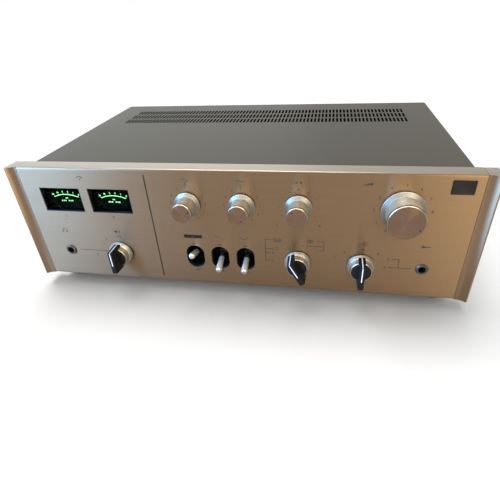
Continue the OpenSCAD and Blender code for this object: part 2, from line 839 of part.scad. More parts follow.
module feet() {
    foot_hole_r = screw_r + screw_gap;
    foot_edge = foot_taper / 2 + edge_r / 2;
    color("#1c1c1c") for (x = foot_xs, y = foot_ys) translate([x, y, -foot_h]) rotate_extrude() polygon([
        [foot_hole_r, foot_h],
        [foot_r, foot_h],
        [foot_r - foot_taper, foot_edge],
        [foot_r - foot_taper - foot_edge, 0],
        [foot_recess_r, 0],
        [foot_recess_r, foot_h - foot_web],
        [foot_hole_r, foot_h - foot_web]
    ]);
}

module badge() {
    x = plate_half - badge_in;
    z = panel_h - badge_down;
    color("#2b2118") slab_y(-badge_t, 0) translate([x, z]) square([badge_w, badge_h], center = true);
}

// A headphone jack: a bored bushing through both panels and a closed body behind them
module jack(x) {
    color("#262626") difference() {
        union() {
            rod_y(x, row_lo, jack_r, -jack_nut_t, sub_back);
            block(
                [x - jack_w / 2, sub_back, row_lo - jack_h / 2],
                [x + jack_w / 2, jack_bore_d - jack_nut_t + jack_back, row_lo + jack_h / 2]
            );
        }
        rod_y(x, row_lo, jack_bore_r, -jack_nut_t - over, jack_bore_d - jack_nut_t);
    }
}

module phones_jack() {
    jack(jack_xs[0]);
}

module aux_jack() {
    jack(jack_xs[1]);
}

module jack_nuts() {
    color("#c9c6c0") for (x = jack_xs) on_face(x, row_lo) rotate_extrude() polygon([
        [jack_r + jack_gap, 0],
        [jack_nut_r, 0],
        [jack_nut_r, jack_nut_t / 2],
        [jack_nut_r - jack_nut_t / 2, jack_nut_t],
        [jack_r + jack_gap, jack_nut_t]
    ]);
}

// Black cups behind the oval openings, each with a slot for its lever
module lever_cups() {
    color("#141414") for (x = lever_xs) difference() {
        slab_y(plate_t, cup_back) translate([x, row_lo]) oval(oval_w + 2 * cup_t, oval_h + 2 * cup_t);
        slab_y(plate_t - over, cup_back - cup_t) translate([x, row_lo]) oval(oval_w, oval_h);
        slab_y(plate_t, cup_back + over) translate([x, row_lo]) {
            square([cup_slot_w, cup_slot_h], center = true);
        }
    }
}

module lever_switches() {
    color("#5a4632") for (x = lever_xs) difference() {
        block(
            [x - switch_w / 2, cup_back, row_lo - switch_h / 2],
            [x + switch_w / 2, cup_back + switch_d, row_lo + switch_h / 2]
        );
        block(
            [x - switch_hollow_w / 2, cup_back - over, row_lo - switch_hollow_h / 2],
            [x + switch_hollow_w / 2, cup_back + switch_hollow_d, row_lo + switch_hollow_h / 2]
        );
        lever_pin_bore(x, switch_w + 2 * over);
    }
}

module lever_pin_bore(x, length) {
    translate([x, pivot_y, row_lo]) rotate([0, 90, 0]) {
        cylinder(r = pin_r + pin_gap, h = length, center = true);
    }
}

module lever_pins() {
    color("silver") for (x = lever_xs) translate([x, pivot_y, row_lo]) rotate([0, 90, 0]) {
        cylinder(r = pin_r, h = switch_w, center = true);
    }
}

// A chrome lever: a tapered rod with a round tip, a hub on the pivot pin and a tail inside the switch
module lever(x, tilt) {
    tip = lever_tip_r / 3;
    color("#d5d5d5") difference() {
        translate([x, pivot_y, row_lo]) {
            rotate([0, 90, 0]) cylinder(r = lever_hub_r, h = lever_hub_w, center = true);
            rotate([90 - tilt, 0, 0]) rotate_extrude() polygon([
                [0, -lever_tail],
                [lever_root_r, -lever_tail],
                [lever_root_r, lever_hub_r],
                [lever_tip_r, lever_len - 3 * tip],
                [lever_tip_r, lever_len - tip],
                [lever_tip_r - tip, lever_len],
                [0, lever_len]
            ]);
        }
        lever_pin_bore(x, lever_hub_w + 2 * over);
    }
}

module power_lever() {
    lever(lever_xs[0], lever_tilt);
}

module filter_lever() {
    lever(lever_xs[1], -lever_tilt);
}

module loudness_lever() {
    lever(lever_xs[2], -lever_tilt);
}

// The bore that a control's shaft turns in
module shaft_bore(x, z) {
    rod_y(x, z, shaft_r + shaft_gap, plate_t, sub_back + shaft_in + shaft_end_gap);
}

module control_pots() {
    color("#9a9a94") for (x = pot_xs) difference() {
        union() {
            rod_y(x, row_hi, bushing_r, plate_t + bushing_front, sub_back);
            rod_y(x, row_hi, pot_r, sub_back, pot_back);
        }
        shaft_bore(x, row_hi);
    }
}

// Rotary switches: a bushing, and wafers along a core
module rotary_switches() {
    length = shaft_in + (wafer_count - 1) * wafer_pitch;
    color("#7a5a34") for (x = rotary_xs) difference() {
        union() {
            rod_y(x, row_lo, bushing_r, plate_t + bushing_front, sub_back);
            rod_y(x, row_lo, wafer_core_r, sub_back, sub_back + length + wafer_t);
            for (i = [0 : wafer_count - 1]) {
                y = sub_back + (i == 0 ? 0 : shaft_in + (i - 1) * wafer_pitch + wafer_pitch / 2);
                rod_y(x, row_lo, wafer_r, y, y + wafer_t);
            }
        }
        shaft_bore(x, row_lo);
    }
}

module control_nuts() {
    places = concat([for (x = pot_xs) [x, row_hi]], [for (x = rotary_xs) [x, row_lo]]);
    color("#b0a98f") for (p = places) difference() {
        translate([p.x, lip_d, p.y]) rotate([90, 0, 0]) cylinder(d = nut_w, h = nut_t, $fn = 6);
        rod_y(p.x, p.y, bushing_r + bushing_gap, lip_d - nut_t - over, lip_d + over);
    }
}

// How far out a turned knob's bore ends behind its face
function knob_bore(out) = out - knob_face_wall;

// A turned aluminium knob: a sloping flange at the panel, a waist behind its rim and a dot on its face
module turned_knob(x, turn, flange_r, face_r, dot_in, out) {
    flange_top = knob_gap + knob_flange_t;
    rim_low = out - knob_rim;
    body_r = face_r - knob_waist;
    bore_r = shaft_r + shaft_gap;
    color("#a79c8f") on_face(x, row_hi, turn) difference() {
        rotate_extrude() polygon([
            [bore_r, knob_gap],
            [flange_r - knob_edge, knob_gap],
            [flange_r, knob_gap + knob_edge],
            [flange_r, flange_top],
            [body_r, flange_top + knob_slope],
            [body_r, rim_low - knob_waist],
            [face_r, rim_low],
            [face_r, out - knob_bevel],
            [face_r - knob_bevel, out],
            [0, out],
            [0, knob_bore(out)],
            [bore_r, knob_bore(out)]
        ]);
        translate([0, face_r - dot_in, out - knob_edge]) cylinder(r = dot_r, h = over);
    }
}

// A plain shaft from inside its control to inside its knob
module control_shaft(x, z, out) {
    color("#cfcfca") rod_y(x, z, shaft_r, shaft_end_gap - out, sub_back + shaft_in);
}

module volume_knob() {
    turned_knob(volume_x, volume_turn, volume_r, volume_face_r, volume_dot_in, volume_out);
}

module volume_shaft() {
    control_shaft(volume_x, row_hi, knob_bore(volume_out));
}

module bass_knob() {
    turned_knob(tone_x, bass_turn, tone_r, tone_face_r, tone_dot_in, knob_out);
}

module bass_shaft() {
    control_shaft(tone_x, row_hi, knob_bore(knob_out));
}

module treble_knob() {
    turned_knob(treble_x, treble_turn, tone_r, tone_face_r, tone_dot_in, knob_out);
}

module treble_shaft() {
    control_shaft(treble_x, row_hi, knob_bore(knob_out));
}

module balance_knob() {
    turned_knob(balance_x, balance_turn, tone_r, tone_face_r, tone_dot_in, knob_out);
}

module balance_shaft() {
    control_shaft(balance_x, row_hi, knob_bore(knob_out));
}

// The bar of a pointer knob, with a ridge narrower than its base, lying along the local y
module pointer_bar(room) {
    half = bar_w / 2 + room;
    ridge = bar_ridge_w / 2 + room;
    translate([0, bar_len / 2 + room, 0]) rotate([90, 0, 0]) linear_extrude(bar_len + 2 * room) polygon([
        [-half, bar_base_out - room],
        [half, bar_base_out - room],
        [half, skirt_out],
        [ridge, bar_out],
        [-ridge, bar_out],
        [-half, skirt_out]
    ]);
}

// The aluminium skirt of a pointer knob: two cones with a groove between them, slotted for the bar
module pointer_skirt(x, turn) {
    bore_r = shaft_r + shaft_gap;
    color("#a79c8f") on_face(x, row_lo, turn) difference() {
        rotate_extrude() polygon([
            [bore_r, knob_gap],
            [skirt_r - knob_edge, knob_gap],
            [skirt_r, knob_gap + knob_edge],
            [skirt_step_r, skirt_step_out - skirt_groove],
            [skirt_step_r - skirt_groove, skirt_step_out - skirt_groove],
            [skirt_step_r - skirt_groove, skirt_step_out],
            [skirt_rim_r, skirt_out - skirt_groove],
            [skirt_rim_r - skirt_groove, skirt_out],
            [hub_r + bar_gap, skirt_out],
            [hub_r + bar_gap, skirt_out - hub_d],
            [bore_r, skirt_out - hub_d]
        ]);
        pointer_bar(bar_gap);
    }
}

// The black insert of a pointer knob: a hub disc and the pointer bar, bored for the shaft
module pointer(x, turn) {
    color("#171717") on_face(x, row_lo, turn) difference() {
        union() {
            translate([0, 0, skirt_out - hub_d]) cylinder(r = hub_r, h = hub_d - knob_edge);
            pointer_bar(0);
        }
        cylinder(r = shaft_r + shaft_gap, h = bar_bore_out);
    }
}

module speaker_skirt() {
    pointer_skirt(speaker_x, speaker_turn);
}

module speaker_pointer() {
    pointer(speaker_x, speaker_turn);
}

module speaker_shaft() {
    control_shaft(speaker_x, row_lo, bar_bore_out);
}

module mode_skirt() {
    pointer_skirt(mode_x, mode_turn);
}

module mode_pointer() {
    pointer(mode_x, mode_turn);
}

module mode_shaft() {
    control_shaft(mode_x, row_lo, bar_bore_out);
}

module source_skirt() {
    pointer_skirt(source_x, source_turn);
}

module source_pointer() {
    pointer(source_x, source_turn);
}

module source_shaft() {
    control_shaft(source_x, row_lo, bar_bore_out);
}

module meter_cases() {
    color("#1a1a1a") for (x = meter_xs) difference() {
        block([x - case_half, plate_t, case_low], [x + case_half, plate_t + case_d, case_high]);
        block(
            [x - case_half + case_t, plate_t - over, case_low + case_t],
            [x + case_half - case_t, plate_t + case_d - case_t, case_high - case_t]
        );
    }
}

// Clear lenses: a block that fills the window and a flange behind the plate
module meter_lenses() {
    color([0.7, 0.8, 0.75, 0.4]) for (x = meter_xs) {
        slab_y(lens_in, plate_t) translate([x, window_z]) {
            square([window_w - 2 * lens_gap, window_h - 2 * lens_gap], center = true);
        }
        slab_y(plate_t, plate_t + lens_flange_t) translate([x, window_z]) {
            square([window_w + 2 * lens_lap, window_h + 2 * lens_lap], center = true);
        }
    }
}

// Dark scale plates that slide into the cases, each with a hole for the needle's spindle
module meter_scales() {
    half = case_half - case_t;
    color("#10231c") for (x = meter_xs) difference() {
        block([x - half, scale_y, case_low + case_t], [x + half, scale_y + scale_t, case_high - case_t]);
        rod_y(x, needle_z, 2 * spindle_r, scale_y - over, scale_y + scale_t + over);
    }
}

module meter_magnets() {
    color("#55575a") for (x = meter_xs) difference() {
        rod_y(x, needle_z, magnet_r, magnet_y, plate_t + case_d - case_t);
        rod_y(x, needle_z, spindle_r + shaft_gap, magnet_y - over, spindle_in + shaft_end_gap);
    }
}

module meter_lamps() {
    lamp_y = magnet_y + lamp_r;
    lamp_z = case_high - case_t - lamp_r - lens_gap;
    color("#cfe8d8") for (x = meter_xs) translate([x, lamp_y, lamp_z]) rotate([0, 90, 0]) {
        cylinder(r = lamp_r, h = lamp_len, center = true);
    }
}

// A needle with its hub, and a spindle that turns in the magnet
module needle(x) {
    back = scale_y - needle_gap;
    color("#101010") {
        rod_y(x, needle_z, needle_hub_r, back - needle_t, back);
        rod_y(x, needle_z, spindle_r, back - needle_t, spindle_in);
        slab_y(back - needle_t, back) translate([x, needle_z]) rotate(needle_tilt) polygon([
            [-needle_w / 2, 0],
            [needle_w / 2, 0],
            [needle_w / 4, needle_len],
            [-needle_w / 4, needle_len]
        ]);
    }
}

module left_needle() {
    needle(meter_xs[0]);
}

module right_needle() {
    needle(meter_xs[1]);
}

module tone_board() {
    color("#b08a4a") block(
        [tone_x - tone_board_end, pot_back, row_hi - tone_board_h / 2],
        [volume_x + tone_board_end, pot_back + board_t, row_hi + tone_board_h / 2]
    );
}

// The places of the four standoffs under the main board
function standoff_places() = [
    for (side = [-1, 1], end = [0, 1]) [
        sink_x + side * (sink_w / 2 - standoff_in),
        main_board_y + standoff_in + end * (main_board_d - 2 * standoff_in)
    ]
];

module main_board() {
    color("#b08a4a") difference() {
        block(
            [sink_x - sink_w / 2, main_board_y, main_board_z],
            [sink_x + sink_w / 2, main_board_y + main_board_d, main_board_z + board_t]
        );
        for (p = standoff_places()) translate([p.x, p.y, main_board_z - over]) {
            cylinder(r = peg_r + screw_gap, h = board_t + 2 * over);
        }
    }
}

module board_standoffs() {
    color("#e8e4d8") for (p = standoff_places()) translate([p.x, p.y, sheet_t]) {
        cylinder(r = standoff_r, h = standoff_h);
        cylinder(r = peg_r, h = standoff_h + 2 * board_t);
    }
}

// A finned heat sink that stands on the chassis pan
module heat_sink() {
    step = (sink_w - fin_t) / (fin_count - 1);
    color("#2c2c2c") translate([sink_x - sink_w / 2, sink_y, sheet_t]) linear_extrude(sink_h) {
        square([sink_w, sink_base]);
        for (i = [0 : fin_count - 1]) translate([i * step, 0]) square([fin_t, sink_base + fin_len]);
    }
}

// Output transistors in metal cans, flat on the front of the heat sink
module output_transistors() {
    first = sink_x - (transistor_count - 1) * transistor_pitch / 2;
    z = sheet_t + sink_h / 2;
    color("#b9b9b4") for (i = [0 : transistor_count - 1]) {
        translate([first + i * transistor_pitch, sink_y, z]) rotate([90, 0, 0]) {
            linear_extrude(transistor_base) {
                circle(transistor_flange_r);
                square([2 * transistor_ear, transistor_r], center = true);
                for (side = [-1, 1]) translate([side * transistor_ear, 0]) circle(transistor_r / 2);
            }
            cylinder(r = transistor_r, h = transistor_base + transistor_h);
        }
    }
}

module filter_capacitors() {
    color("#2f4a6b") for (side = [-1, 1]) {
        y = filter_y + side * filter_pitch / 2;
        translate([filter_x, y, sheet_t]) rotate_extrude() polygon([
            [0, 0],
            [filter_r, 0],
            [filter_r, filter_h - filter_rim],
            [filter_r - filter_rim, filter_h],
            [filter_r - 2 * filter_rim, filter_h - filter_rim],
            [0, filter_h - filter_rim]
        ]);
    }
}

// A laminated core with two windows for the coil
module transformer_core() {
    color("#4a4743") translate([core_x, core_y, sheet_t + core_h / 2]) difference() {
        cube([core_w, core_d, core_h], center = true);
        for (side = [-1, 1]) translate([side * (coil_leg + coil_w) / 4, 0, 0]) {
            cube([(core_w - 4 * core_leg) / 2, core_d + 2 * over, core_h - 2 * core_leg], center = true);
        }
    }
}

module transformer_coil() {
    height = core_h - 2 * core_leg;
    color("#8a5a2a") translate([core_x, core_y, sheet_t + core_h / 2]) difference() {
        cube([coil_w, core_d + 2 * coil_out, height], center = true);
        cube([coil_leg, core_d + 2 * coil_gap, height + 2 * over], center = true);
    }
}

// Phono sockets: a shell outside the rear panel, a flange and a short body inside it
module phono_sockets() {
    root = rear_out + rear_inset - phono_len;
    color("#c8b070") for (x = phono_xs, z = phono_zs) difference() {
        union() {
            rod_y(x, z, phono_flange_r, rear_face, rear_face + root);
            rod_y(x, z, phono_r, rear_inner - phono_in, body_d + rear_out);
        }
        rod_y(x, z, phono_hole_r, body_d + rear_out - phono_hole_d, body_d + rear_out + over);
    }
}

// Terminal blocks on the rear panel, with ribs between the terminals and a tongue through the panel
module speaker_terminals() {
    color("#1d1d1d") for (z = block_zs) translate([block_x, rear_face, z]) difference() {
        union() {
            block([-block_w / 2, 0, -block_h / 2], [block_w / 2, block_t, block_h / 2]);
            for (i = [0 : terminal_count]) {
                translate([i * terminal_pitch - block_w / 2, 0, -block_h / 2]) {
                    cube([rib_t, block_t + rib_out, block_h]);
                }
            }
            block(
                [block_t - block_w / 2, -block_t, -block_h / 4],
                [block_w / 2 - block_t, 0, block_h / 4]
            );
        }
        for (i = [0 : terminal_count - 1]) {
            rod_y(terminal_spot(i), 0, screw_r + screw_gap, -over, block_t + over);
        }
    }
}

// The place of a terminal along its block
function terminal_spot(i) = (i + 0.5) * terminal_pitch + rib_t / 2 - block_w / 2;

module terminal_screws() {
    seat = rear_face + block_t;
    color("#c2a45c") for (z = block_zs, i = [0 : terminal_count - 1]) {
        x = block_x + terminal_spot(i);
        rod_y(x, z, terminal_r, seat, seat + terminal_h);
        rod_y(x, z, screw_r, rear_face, seat);
    }
}

module ground_terminal() {
    color("#c9c6c0") {
        rod_y(ground_x, ground_z, ground_r, rear_face, rear_face + screw_head_h);
        rod_y(ground_x, ground_z, ground_r - edge_r, rear_face, rear_face + 2 * screw_head_h);
        rod_y(ground_x, ground_z, screw_r, rear_inner - screw_len, rear_face);
    }
}

module cord_gland() {
    color("#161616") difference() {
        union() {
            rod_y(gland_x, gland_z, gland_flange_r, rear_inner - gland_flange_t, rear_inner);
            rod_y(gland_x, gland_z, gland_r, rear_inner, rear_face);
            rod_y(gland_x, gland_z, gland_flange_r, rear_face, rear_face + gland_flange_t);
        }
        bore_end = gland_flange_t + over;
        rod_y(gland_x, gland_z, gland_bore_r, rear_inner - bore_end, rear_face + bore_end);
    }
}

place() fascia();
place() left_end_cap();
place() right_end_cap();
place() panel_screws();
place() top_cover();
place() case_screws();
place() chassis_pan();
place() subpanel();
place() rear_panel();
place() feet();
place() badge();
place() phones_jack();
place() aux_jack();
place() jack_nuts();
place() lever_cups();
place() lever_switches();
place() lever_pins();
place() power_lever();
place() filter_lever();
place() loudness_lever();
place() control_pots();
place() rotary_switches();
place() control_nuts();
place() volume_knob();
place() volume_shaft();
place() bass_knob();
place() bass_shaft();
place() treble_knob();
place() treble_shaft();
place() balance_knob();
place() balance_shaft();
place() speaker_skirt();
place() speaker_pointer();
place() speaker_shaft();
place() mode_skirt();
place() mode_pointer();
place() mode_shaft();
place() source_skirt();
place() source_pointer();
place() source_shaft();
place() meter_cases();
place() meter_lenses();
place() meter_scales();
place() meter_magnets();
place() meter_lamps();
place() left_needle();
place() right_needle();
place() tone_board();
place() main_board();
place() board_standoffs();
place() heat_sink();
place() output_transistors();
place() filter_capacitors();
place() transformer_core();
place() transformer_coil();
place() phono_sockets();
place() speaker_terminals();
place() terminal_screws();
place() ground_terminal();
place() cord_gland();
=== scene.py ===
"""Looks of a stereo amplifier: dresses its packed CAD model with modelled pieces and finishes.

The file is laid out as a Blender add-on and is run as a script. Every piece is made in metres, in the
model's own frame, so it lies where the CAD node that it stands for lies.
"""

import json
import math

import bmesh
import bpy
from bpy.props import FloatProperty, FloatVectorProperty, IntProperty, PointerProperty
from bpy.types import Operator, Panel, PropertyGroup
from mathutils import Matrix, Vector


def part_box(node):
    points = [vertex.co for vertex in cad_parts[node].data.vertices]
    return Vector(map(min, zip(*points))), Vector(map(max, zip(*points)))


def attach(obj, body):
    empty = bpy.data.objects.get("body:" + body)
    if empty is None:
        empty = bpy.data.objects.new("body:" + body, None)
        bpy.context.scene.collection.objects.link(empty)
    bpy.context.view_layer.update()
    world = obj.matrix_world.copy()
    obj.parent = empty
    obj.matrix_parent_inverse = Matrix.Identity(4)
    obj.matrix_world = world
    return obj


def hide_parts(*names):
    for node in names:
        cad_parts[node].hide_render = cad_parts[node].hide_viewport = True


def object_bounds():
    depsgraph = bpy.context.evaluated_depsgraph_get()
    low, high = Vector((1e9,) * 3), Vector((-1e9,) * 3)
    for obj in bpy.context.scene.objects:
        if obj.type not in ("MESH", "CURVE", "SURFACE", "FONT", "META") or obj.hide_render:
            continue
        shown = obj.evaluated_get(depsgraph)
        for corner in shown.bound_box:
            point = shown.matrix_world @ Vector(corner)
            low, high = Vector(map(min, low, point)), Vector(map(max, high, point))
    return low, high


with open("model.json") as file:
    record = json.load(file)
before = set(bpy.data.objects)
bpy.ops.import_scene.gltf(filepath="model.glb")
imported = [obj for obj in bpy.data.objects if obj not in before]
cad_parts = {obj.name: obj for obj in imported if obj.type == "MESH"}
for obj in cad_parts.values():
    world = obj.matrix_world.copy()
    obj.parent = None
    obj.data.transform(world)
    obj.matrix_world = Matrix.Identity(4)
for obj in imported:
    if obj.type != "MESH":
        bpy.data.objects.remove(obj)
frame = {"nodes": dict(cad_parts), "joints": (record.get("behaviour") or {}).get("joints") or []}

bl_info = {
    "name": "Stereo amplifier looks",
    "version": (1, 0, 0),
    "blender": (4, 5, 0),
    "location": "3D View > Sidebar > Amplifier",
    "description": "Dresses the CAD model of a stereo amplifier with modelled pieces and finishes",
    "category": "Object",
}

MM = 0.001
CAD_BOX = [list(corner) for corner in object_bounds()]
PANEL_LOW, PANEL_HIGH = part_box("fascia")
FACE_Y = PANEL_LOW.y
PANEL_H = PANEL_HIGH.z - PANEL_LOW.z
REAR_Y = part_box("rear_panel")[1].y
JOINTS = {joint["name"]: Vector(joint["pos_m"]) for joint in frame["joints"]}
TURNED_KNOBS = ("volume", "bass", "treble", "balance")
POINTER_KNOBS = ("speaker", "mode", "source")
ROTARY = TURNED_KNOBS + POINTER_KNOBS
LEVERS = ("power", "filter", "loudness")
CHANNELS = ("left", "right")
JACKS = ("phones_jack", "aux_jack")
RIM_LIT = "rim_lit"

# Vertices closer than the first distance are merged. Lengths closer than the second count as equal.
MERGE = 0.0001 * MM
NEAR = 0.001 * MM

# Details of the front panel, the end caps and the plaque.
HOLE_CHAMFER = 0.2 * MM
DIVIDER_DEPTH = 0.5 * MM
DIVIDER_END = 5.0 * MM
CAP_GAP = 0.3 * MM
CAP_LIP = 1.7 * MM
CAP_FLANGE = 3.0 * MM
CAP_OVERLAP = 0.2 * MM
PLAQUE_RIM = 0.7 * MM
PLAQUE_FIELD = 0.25 * MM

# Details of the case screws and the feet.
HEAD_HEIGHT = 1.8 * MM
SCREW_SHANK = 1.5 * MM
SCREW_LENGTH = 6.0 * MM
FOOT_TAPER = 1.0 * MM
FOOT_RECESS = 4.5 * MM
FOOT_WEB = 4.0 * MM
FOOT_EDGE = 1.3 * MM
FOOT_ROOM = 0.1 * MM

# Details of the knobs, the levers and the ring nuts.
KNOB_FLANGE = 1.3 * MM
KNOB_SLOPE = 1.3 * MM
KNOB_WAIST = 0.6 * MM
KNOB_RIM = 2.4 * MM
KNOB_BEVEL = 0.6 * MM
KNOB_EDGE = 0.5 * MM
KNOB_BORE = 3.05 * MM
KNOB_GAP = 1.0 * MM
FACE_WALL = 4.0 * MM
PAINT = 0.04 * MM
GROOVE = 0.4 * MM
SKIRT_BASE = 0.6 * MM
HUB_DEPTH = 2.0 * MM
HUB_DROP = 0.3 * MM
LINE_BACK = 3.0 * MM
LINE_SINK = 0.3 * MM
LINE_STOP = 0.4 * MM
LINE_FOOT = 1.0 * MM
LEVER_HUB = 3.2 * MM
LEVER_HUB_WIDTH = 6.2 * MM
LEVER_TAIL = 8.0 * MM
LEVER_BORE = 1.25 * MM
NUT_BORE = 4.3 * MM
NUT_CHAMFER = 0.7 * MM

# Details of the print.
INK = 0.03 * MM
BOLD = 0.07 * MM
SIGN_LINE = 0.45 * MM
FIELD_WIDTH = 17.0 * MM
FIELD_HEIGHT = 3.5 * MM
WEDGE_IN = 29.0 * MM
DIAL_STEP = math.radians(30)
ZERO_DOT = 0.55 * MM
BALANCE_DOT = 0.45 * MM
MIDDLE_DOT = 0.75 * MM
ARC_WIDTH = 0.6 * MM
TICK = 0.7 * MM
TICK_WIDTH = 0.44 * MM
NUMBER_OUT = 2.4 * MM
DASH_ROW = 24.0 * MM
DASH = 1.0 * MM
DASH_HEIGHT = 1.1 * MM
DASH_PITCH = 1.75 * MM
MARK_WIDTH = 2.4 * MM
MARK_HEIGHT = 0.8 * MM
MARK_UP = 2.2 * MM

# Details of the sockets and terminals.
PHONO_IN = 10.2 * MM
PHONO_HOLE = 1.7 * MM
PHONO_WALL = 0.6 * MM
PHONO_RECESS = 0.5 * MM
RING_DEPTH = 4.0 * MM
RING_DROP = 0.1 * MM
HOLE_DROP = 0.4 * MM
HOLE_FLOOR = 0.05 * MM
RIB = 2.0 * MM
RIB_OUT = 4.0 * MM
BLOCK_OVERLAP = 0.1 * MM
TERMINAL_SHANK = 1.5 * MM
WASHER = 0.5 * MM
TERMINAL_EDGE = 0.3 * MM
SLOT_WIDTH = 0.8 * MM
SLOT_DEPTH = 0.4 * MM
SLOT_PAINT = 0.02 * MM
GROUND_STEP = 1.8 * MM
GROUND_WAIST = 1.6 * MM
GLAND_NECK = 6.5 * MM
GLAND_FLANGE = 3.5 * MM
GLAND_CHAMFER = 1.5 * MM


def length(name, description, default):
    """A length property with its default in millimetres."""
    return FloatProperty(
        name=name, description=description, default=default * MM, unit="LENGTH", precision=5
    )


def angle(name, description, default):
    """An angle property with its default in degrees."""
    return FloatProperty(
        name=name, description=description, default=math.radians(default), subtype="ANGLE"
    )


def colour(name, description, default):
    """A colour property."""
    return FloatVectorProperty(
        name=name, description=description, default=default, size=3, min=0.0, max=1.0, subtype="COLOR"
    )


def count(name, description, default):
    """A number of like parts."""
    return IntProperty(name=name, description=description, default=default, min=1)


def amount(name, description, default):
    """A plain number, such as the power of a light."""
    return FloatProperty(name=name, description=description, default=default, min=0.0)


class PanelSizes(PropertyGroup):
    """Sizes of the front panel and of its end caps"""

    plate: length("Plate", "Thickness of the front plate", 4.0)
    lip_depth: length("Lip depth", "Depth of the lips behind the panel's face", 15.0)
    lip: length("Lip", "Thickness of the lips along the top and bottom", 3.0)
    edge: length("Edge", "Radius of the long front edges", 1.6)
    chamfer: length("Chamfer", "Chamfer round the windows and the lever openings", 0.6)
    shaft_hole: length("Shaft hole", "Radius of the holes for the control shafts", 4.0)
    jack_hole: length("Jack hole", "Radius of the holes for the jacks", 4.3)
    oval_width: length("Oval width", "Width of a lever's opening", 16.0)
    oval_height: length("Oval height", "Height of a lever's opening", 23.3)
    window_width: length("Window width", "Width of a meter's window", 38.5)
    window_height: length("Window height", "Height of a meter's window", 22.3)
    window_z: length("Window place", "Height of the windows' middle above the panel's lower edge", 84.9)
    divider_x: length("Divider", "Place of the engraved divider across the panel", -73.3)
    divider_width: length("Divider width", "Width of the engraved divider", 1.2)
    cap_hollow: length("Cap hollow", "Radius of the hollow down an end cap's face", 14.0)


class CaseSizes(PropertyGroup):
    """Sizes of the cover, its vents, the screws and the feet"""

    sheet: length("Sheet", "Thickness of the folded sheet", 1.2)
    bend: length("Bend", "Outside radius of the cover's bends", 4.0)
    slot_width: length("Slot width", "Width of a vent slot", 2.3)
    slot_length: length("Slot length", "Length of a vent slot", 15.0)
    slot_pitch: length("Slot pitch", "Distance from slot to slot", 4.0)
    row_pitch: length("Row pitch", "Distance from row to row", 19.0)
    vent_in: length("Vent place", "Distance of the vents from the cover's back edge", 29.5)
    slots: count("Slots", "Slots in a row", 81)
    rows: count("Rows", "Rows of slots", 3)
    screw_in: length("Screw place", "Distance of the end screws from the cover's ends", 26.0)
    screw_z: length("Screw height", "Height of the side screws above the chassis", 8.0)
    screw_head: length("Screw head", "Radius of a screw's head", 2.6)
    foot: length("Foot", "Radius of a foot at its top", 12.0)
    foot_in: length("Foot place", "Distance of a foot's middle from the panel's end", 13.0)
    foot_front: length("Front foot", "Distance of the front feet behind the panel's face", 25.0)
    foot_back: length("Back foot", "Distance of the back feet behind the panel's face", 206.0)


class KnobSizes(PropertyGroup):
    """Sizes of the knobs and levers, and the angles at which they rest"""

    tone_face: length("Tone face", "Radius of a tone knob's face", 8.7)
    volume_face: length("Volume face", "Radius of the volume knob's face", 14.3)
    dot: length("Dot", "Radius of the index dot", 0.65)
    tone_dot: length("Tone dot", "Distance of the dot from a tone knob's rim", 2.9)
    volume_dot: length("Volume dot", "Distance of the dot from the volume knob's rim", 2.4)
    volume_turn: angle("Volume", "Resting angle of the volume knob, clockwise from the top", 120)
    bass_turn: angle("Bass", "Resting angle of the bass knob", 80)
    treble_turn: angle("Treble", "Resting angle of the treble knob", 150)
    balance_turn: angle("Balance", "Resting angle of the balance knob", -40)
    skirt_step: length("Skirt step", "Radius of a pointer knob's skirt at its step", 10.5)
    skirt_rim: length("Skirt rim", "Radius of the skirt's front rim", 9.4)
    skirt: length("Skirt", "Radius of the skirt at the panel", 12.0)
    skirt_out: length("Skirt height", "How far the skirt stands out from the panel", 10.4)
    skirt_step_out: length("Step height", "How far the skirt's step stands out", 5.4)
    hub: length("Hub", "Radius of the black hub", 8.4)
    bar_length: length("Bar length", "Length of the pointer bar", 23.0)
    bar_width: length("Bar width", "Width of the pointer bar at its base", 6.0)
    bar_ridge: length("Bar ridge", "Width of the pointer bar along its ridge", 4.6)
    bar_out: length("Bar height", "How far the bar stands out from the panel", 20.5)
    bar_base: length("Bar base", "How far out the bar's underside lies", 4.2)
    line: length("Line", "Width of the white line on a pointer", 0.8)
    speaker_turn: angle("Speaker", "Resting angle of the speaker switch, clockwise from the top", 0)
    mode_turn: angle("Mode", "Resting angle of the mode switch", -30)
    source_turn: angle("Source", "Resting angle of the source switch", 0)
    lever_length: length("Lever", "Length of a lever from its pivot", 26.5)
    lever_tip: length("Lever tip", "Radius of a lever at its tip", 2.8)
    lever_root: length("Lever root", "Radius of a lever at its root", 2.3)
    # A lever's root is painted with the black hub finish: painted shade of the recess.
    lever_sleeve: length("Lever sleeve", "Length of the dark sleeve over a lever's root", 10.0)
    power_tilt: angle("Power", "Resting tilt of the power lever, up from the level", 16)
    filter_tilt: angle("Filter", "Resting tilt of the filter lever", -16)
    loudness_tilt: angle("Loudness", "Resting tilt of the loudness lever", -16)
    nut: length("Jack nut", "Radius of a jack's ring nut", 5.2)
    nut_height: length("Nut height", "Thickness of a ring nut", 1.4)


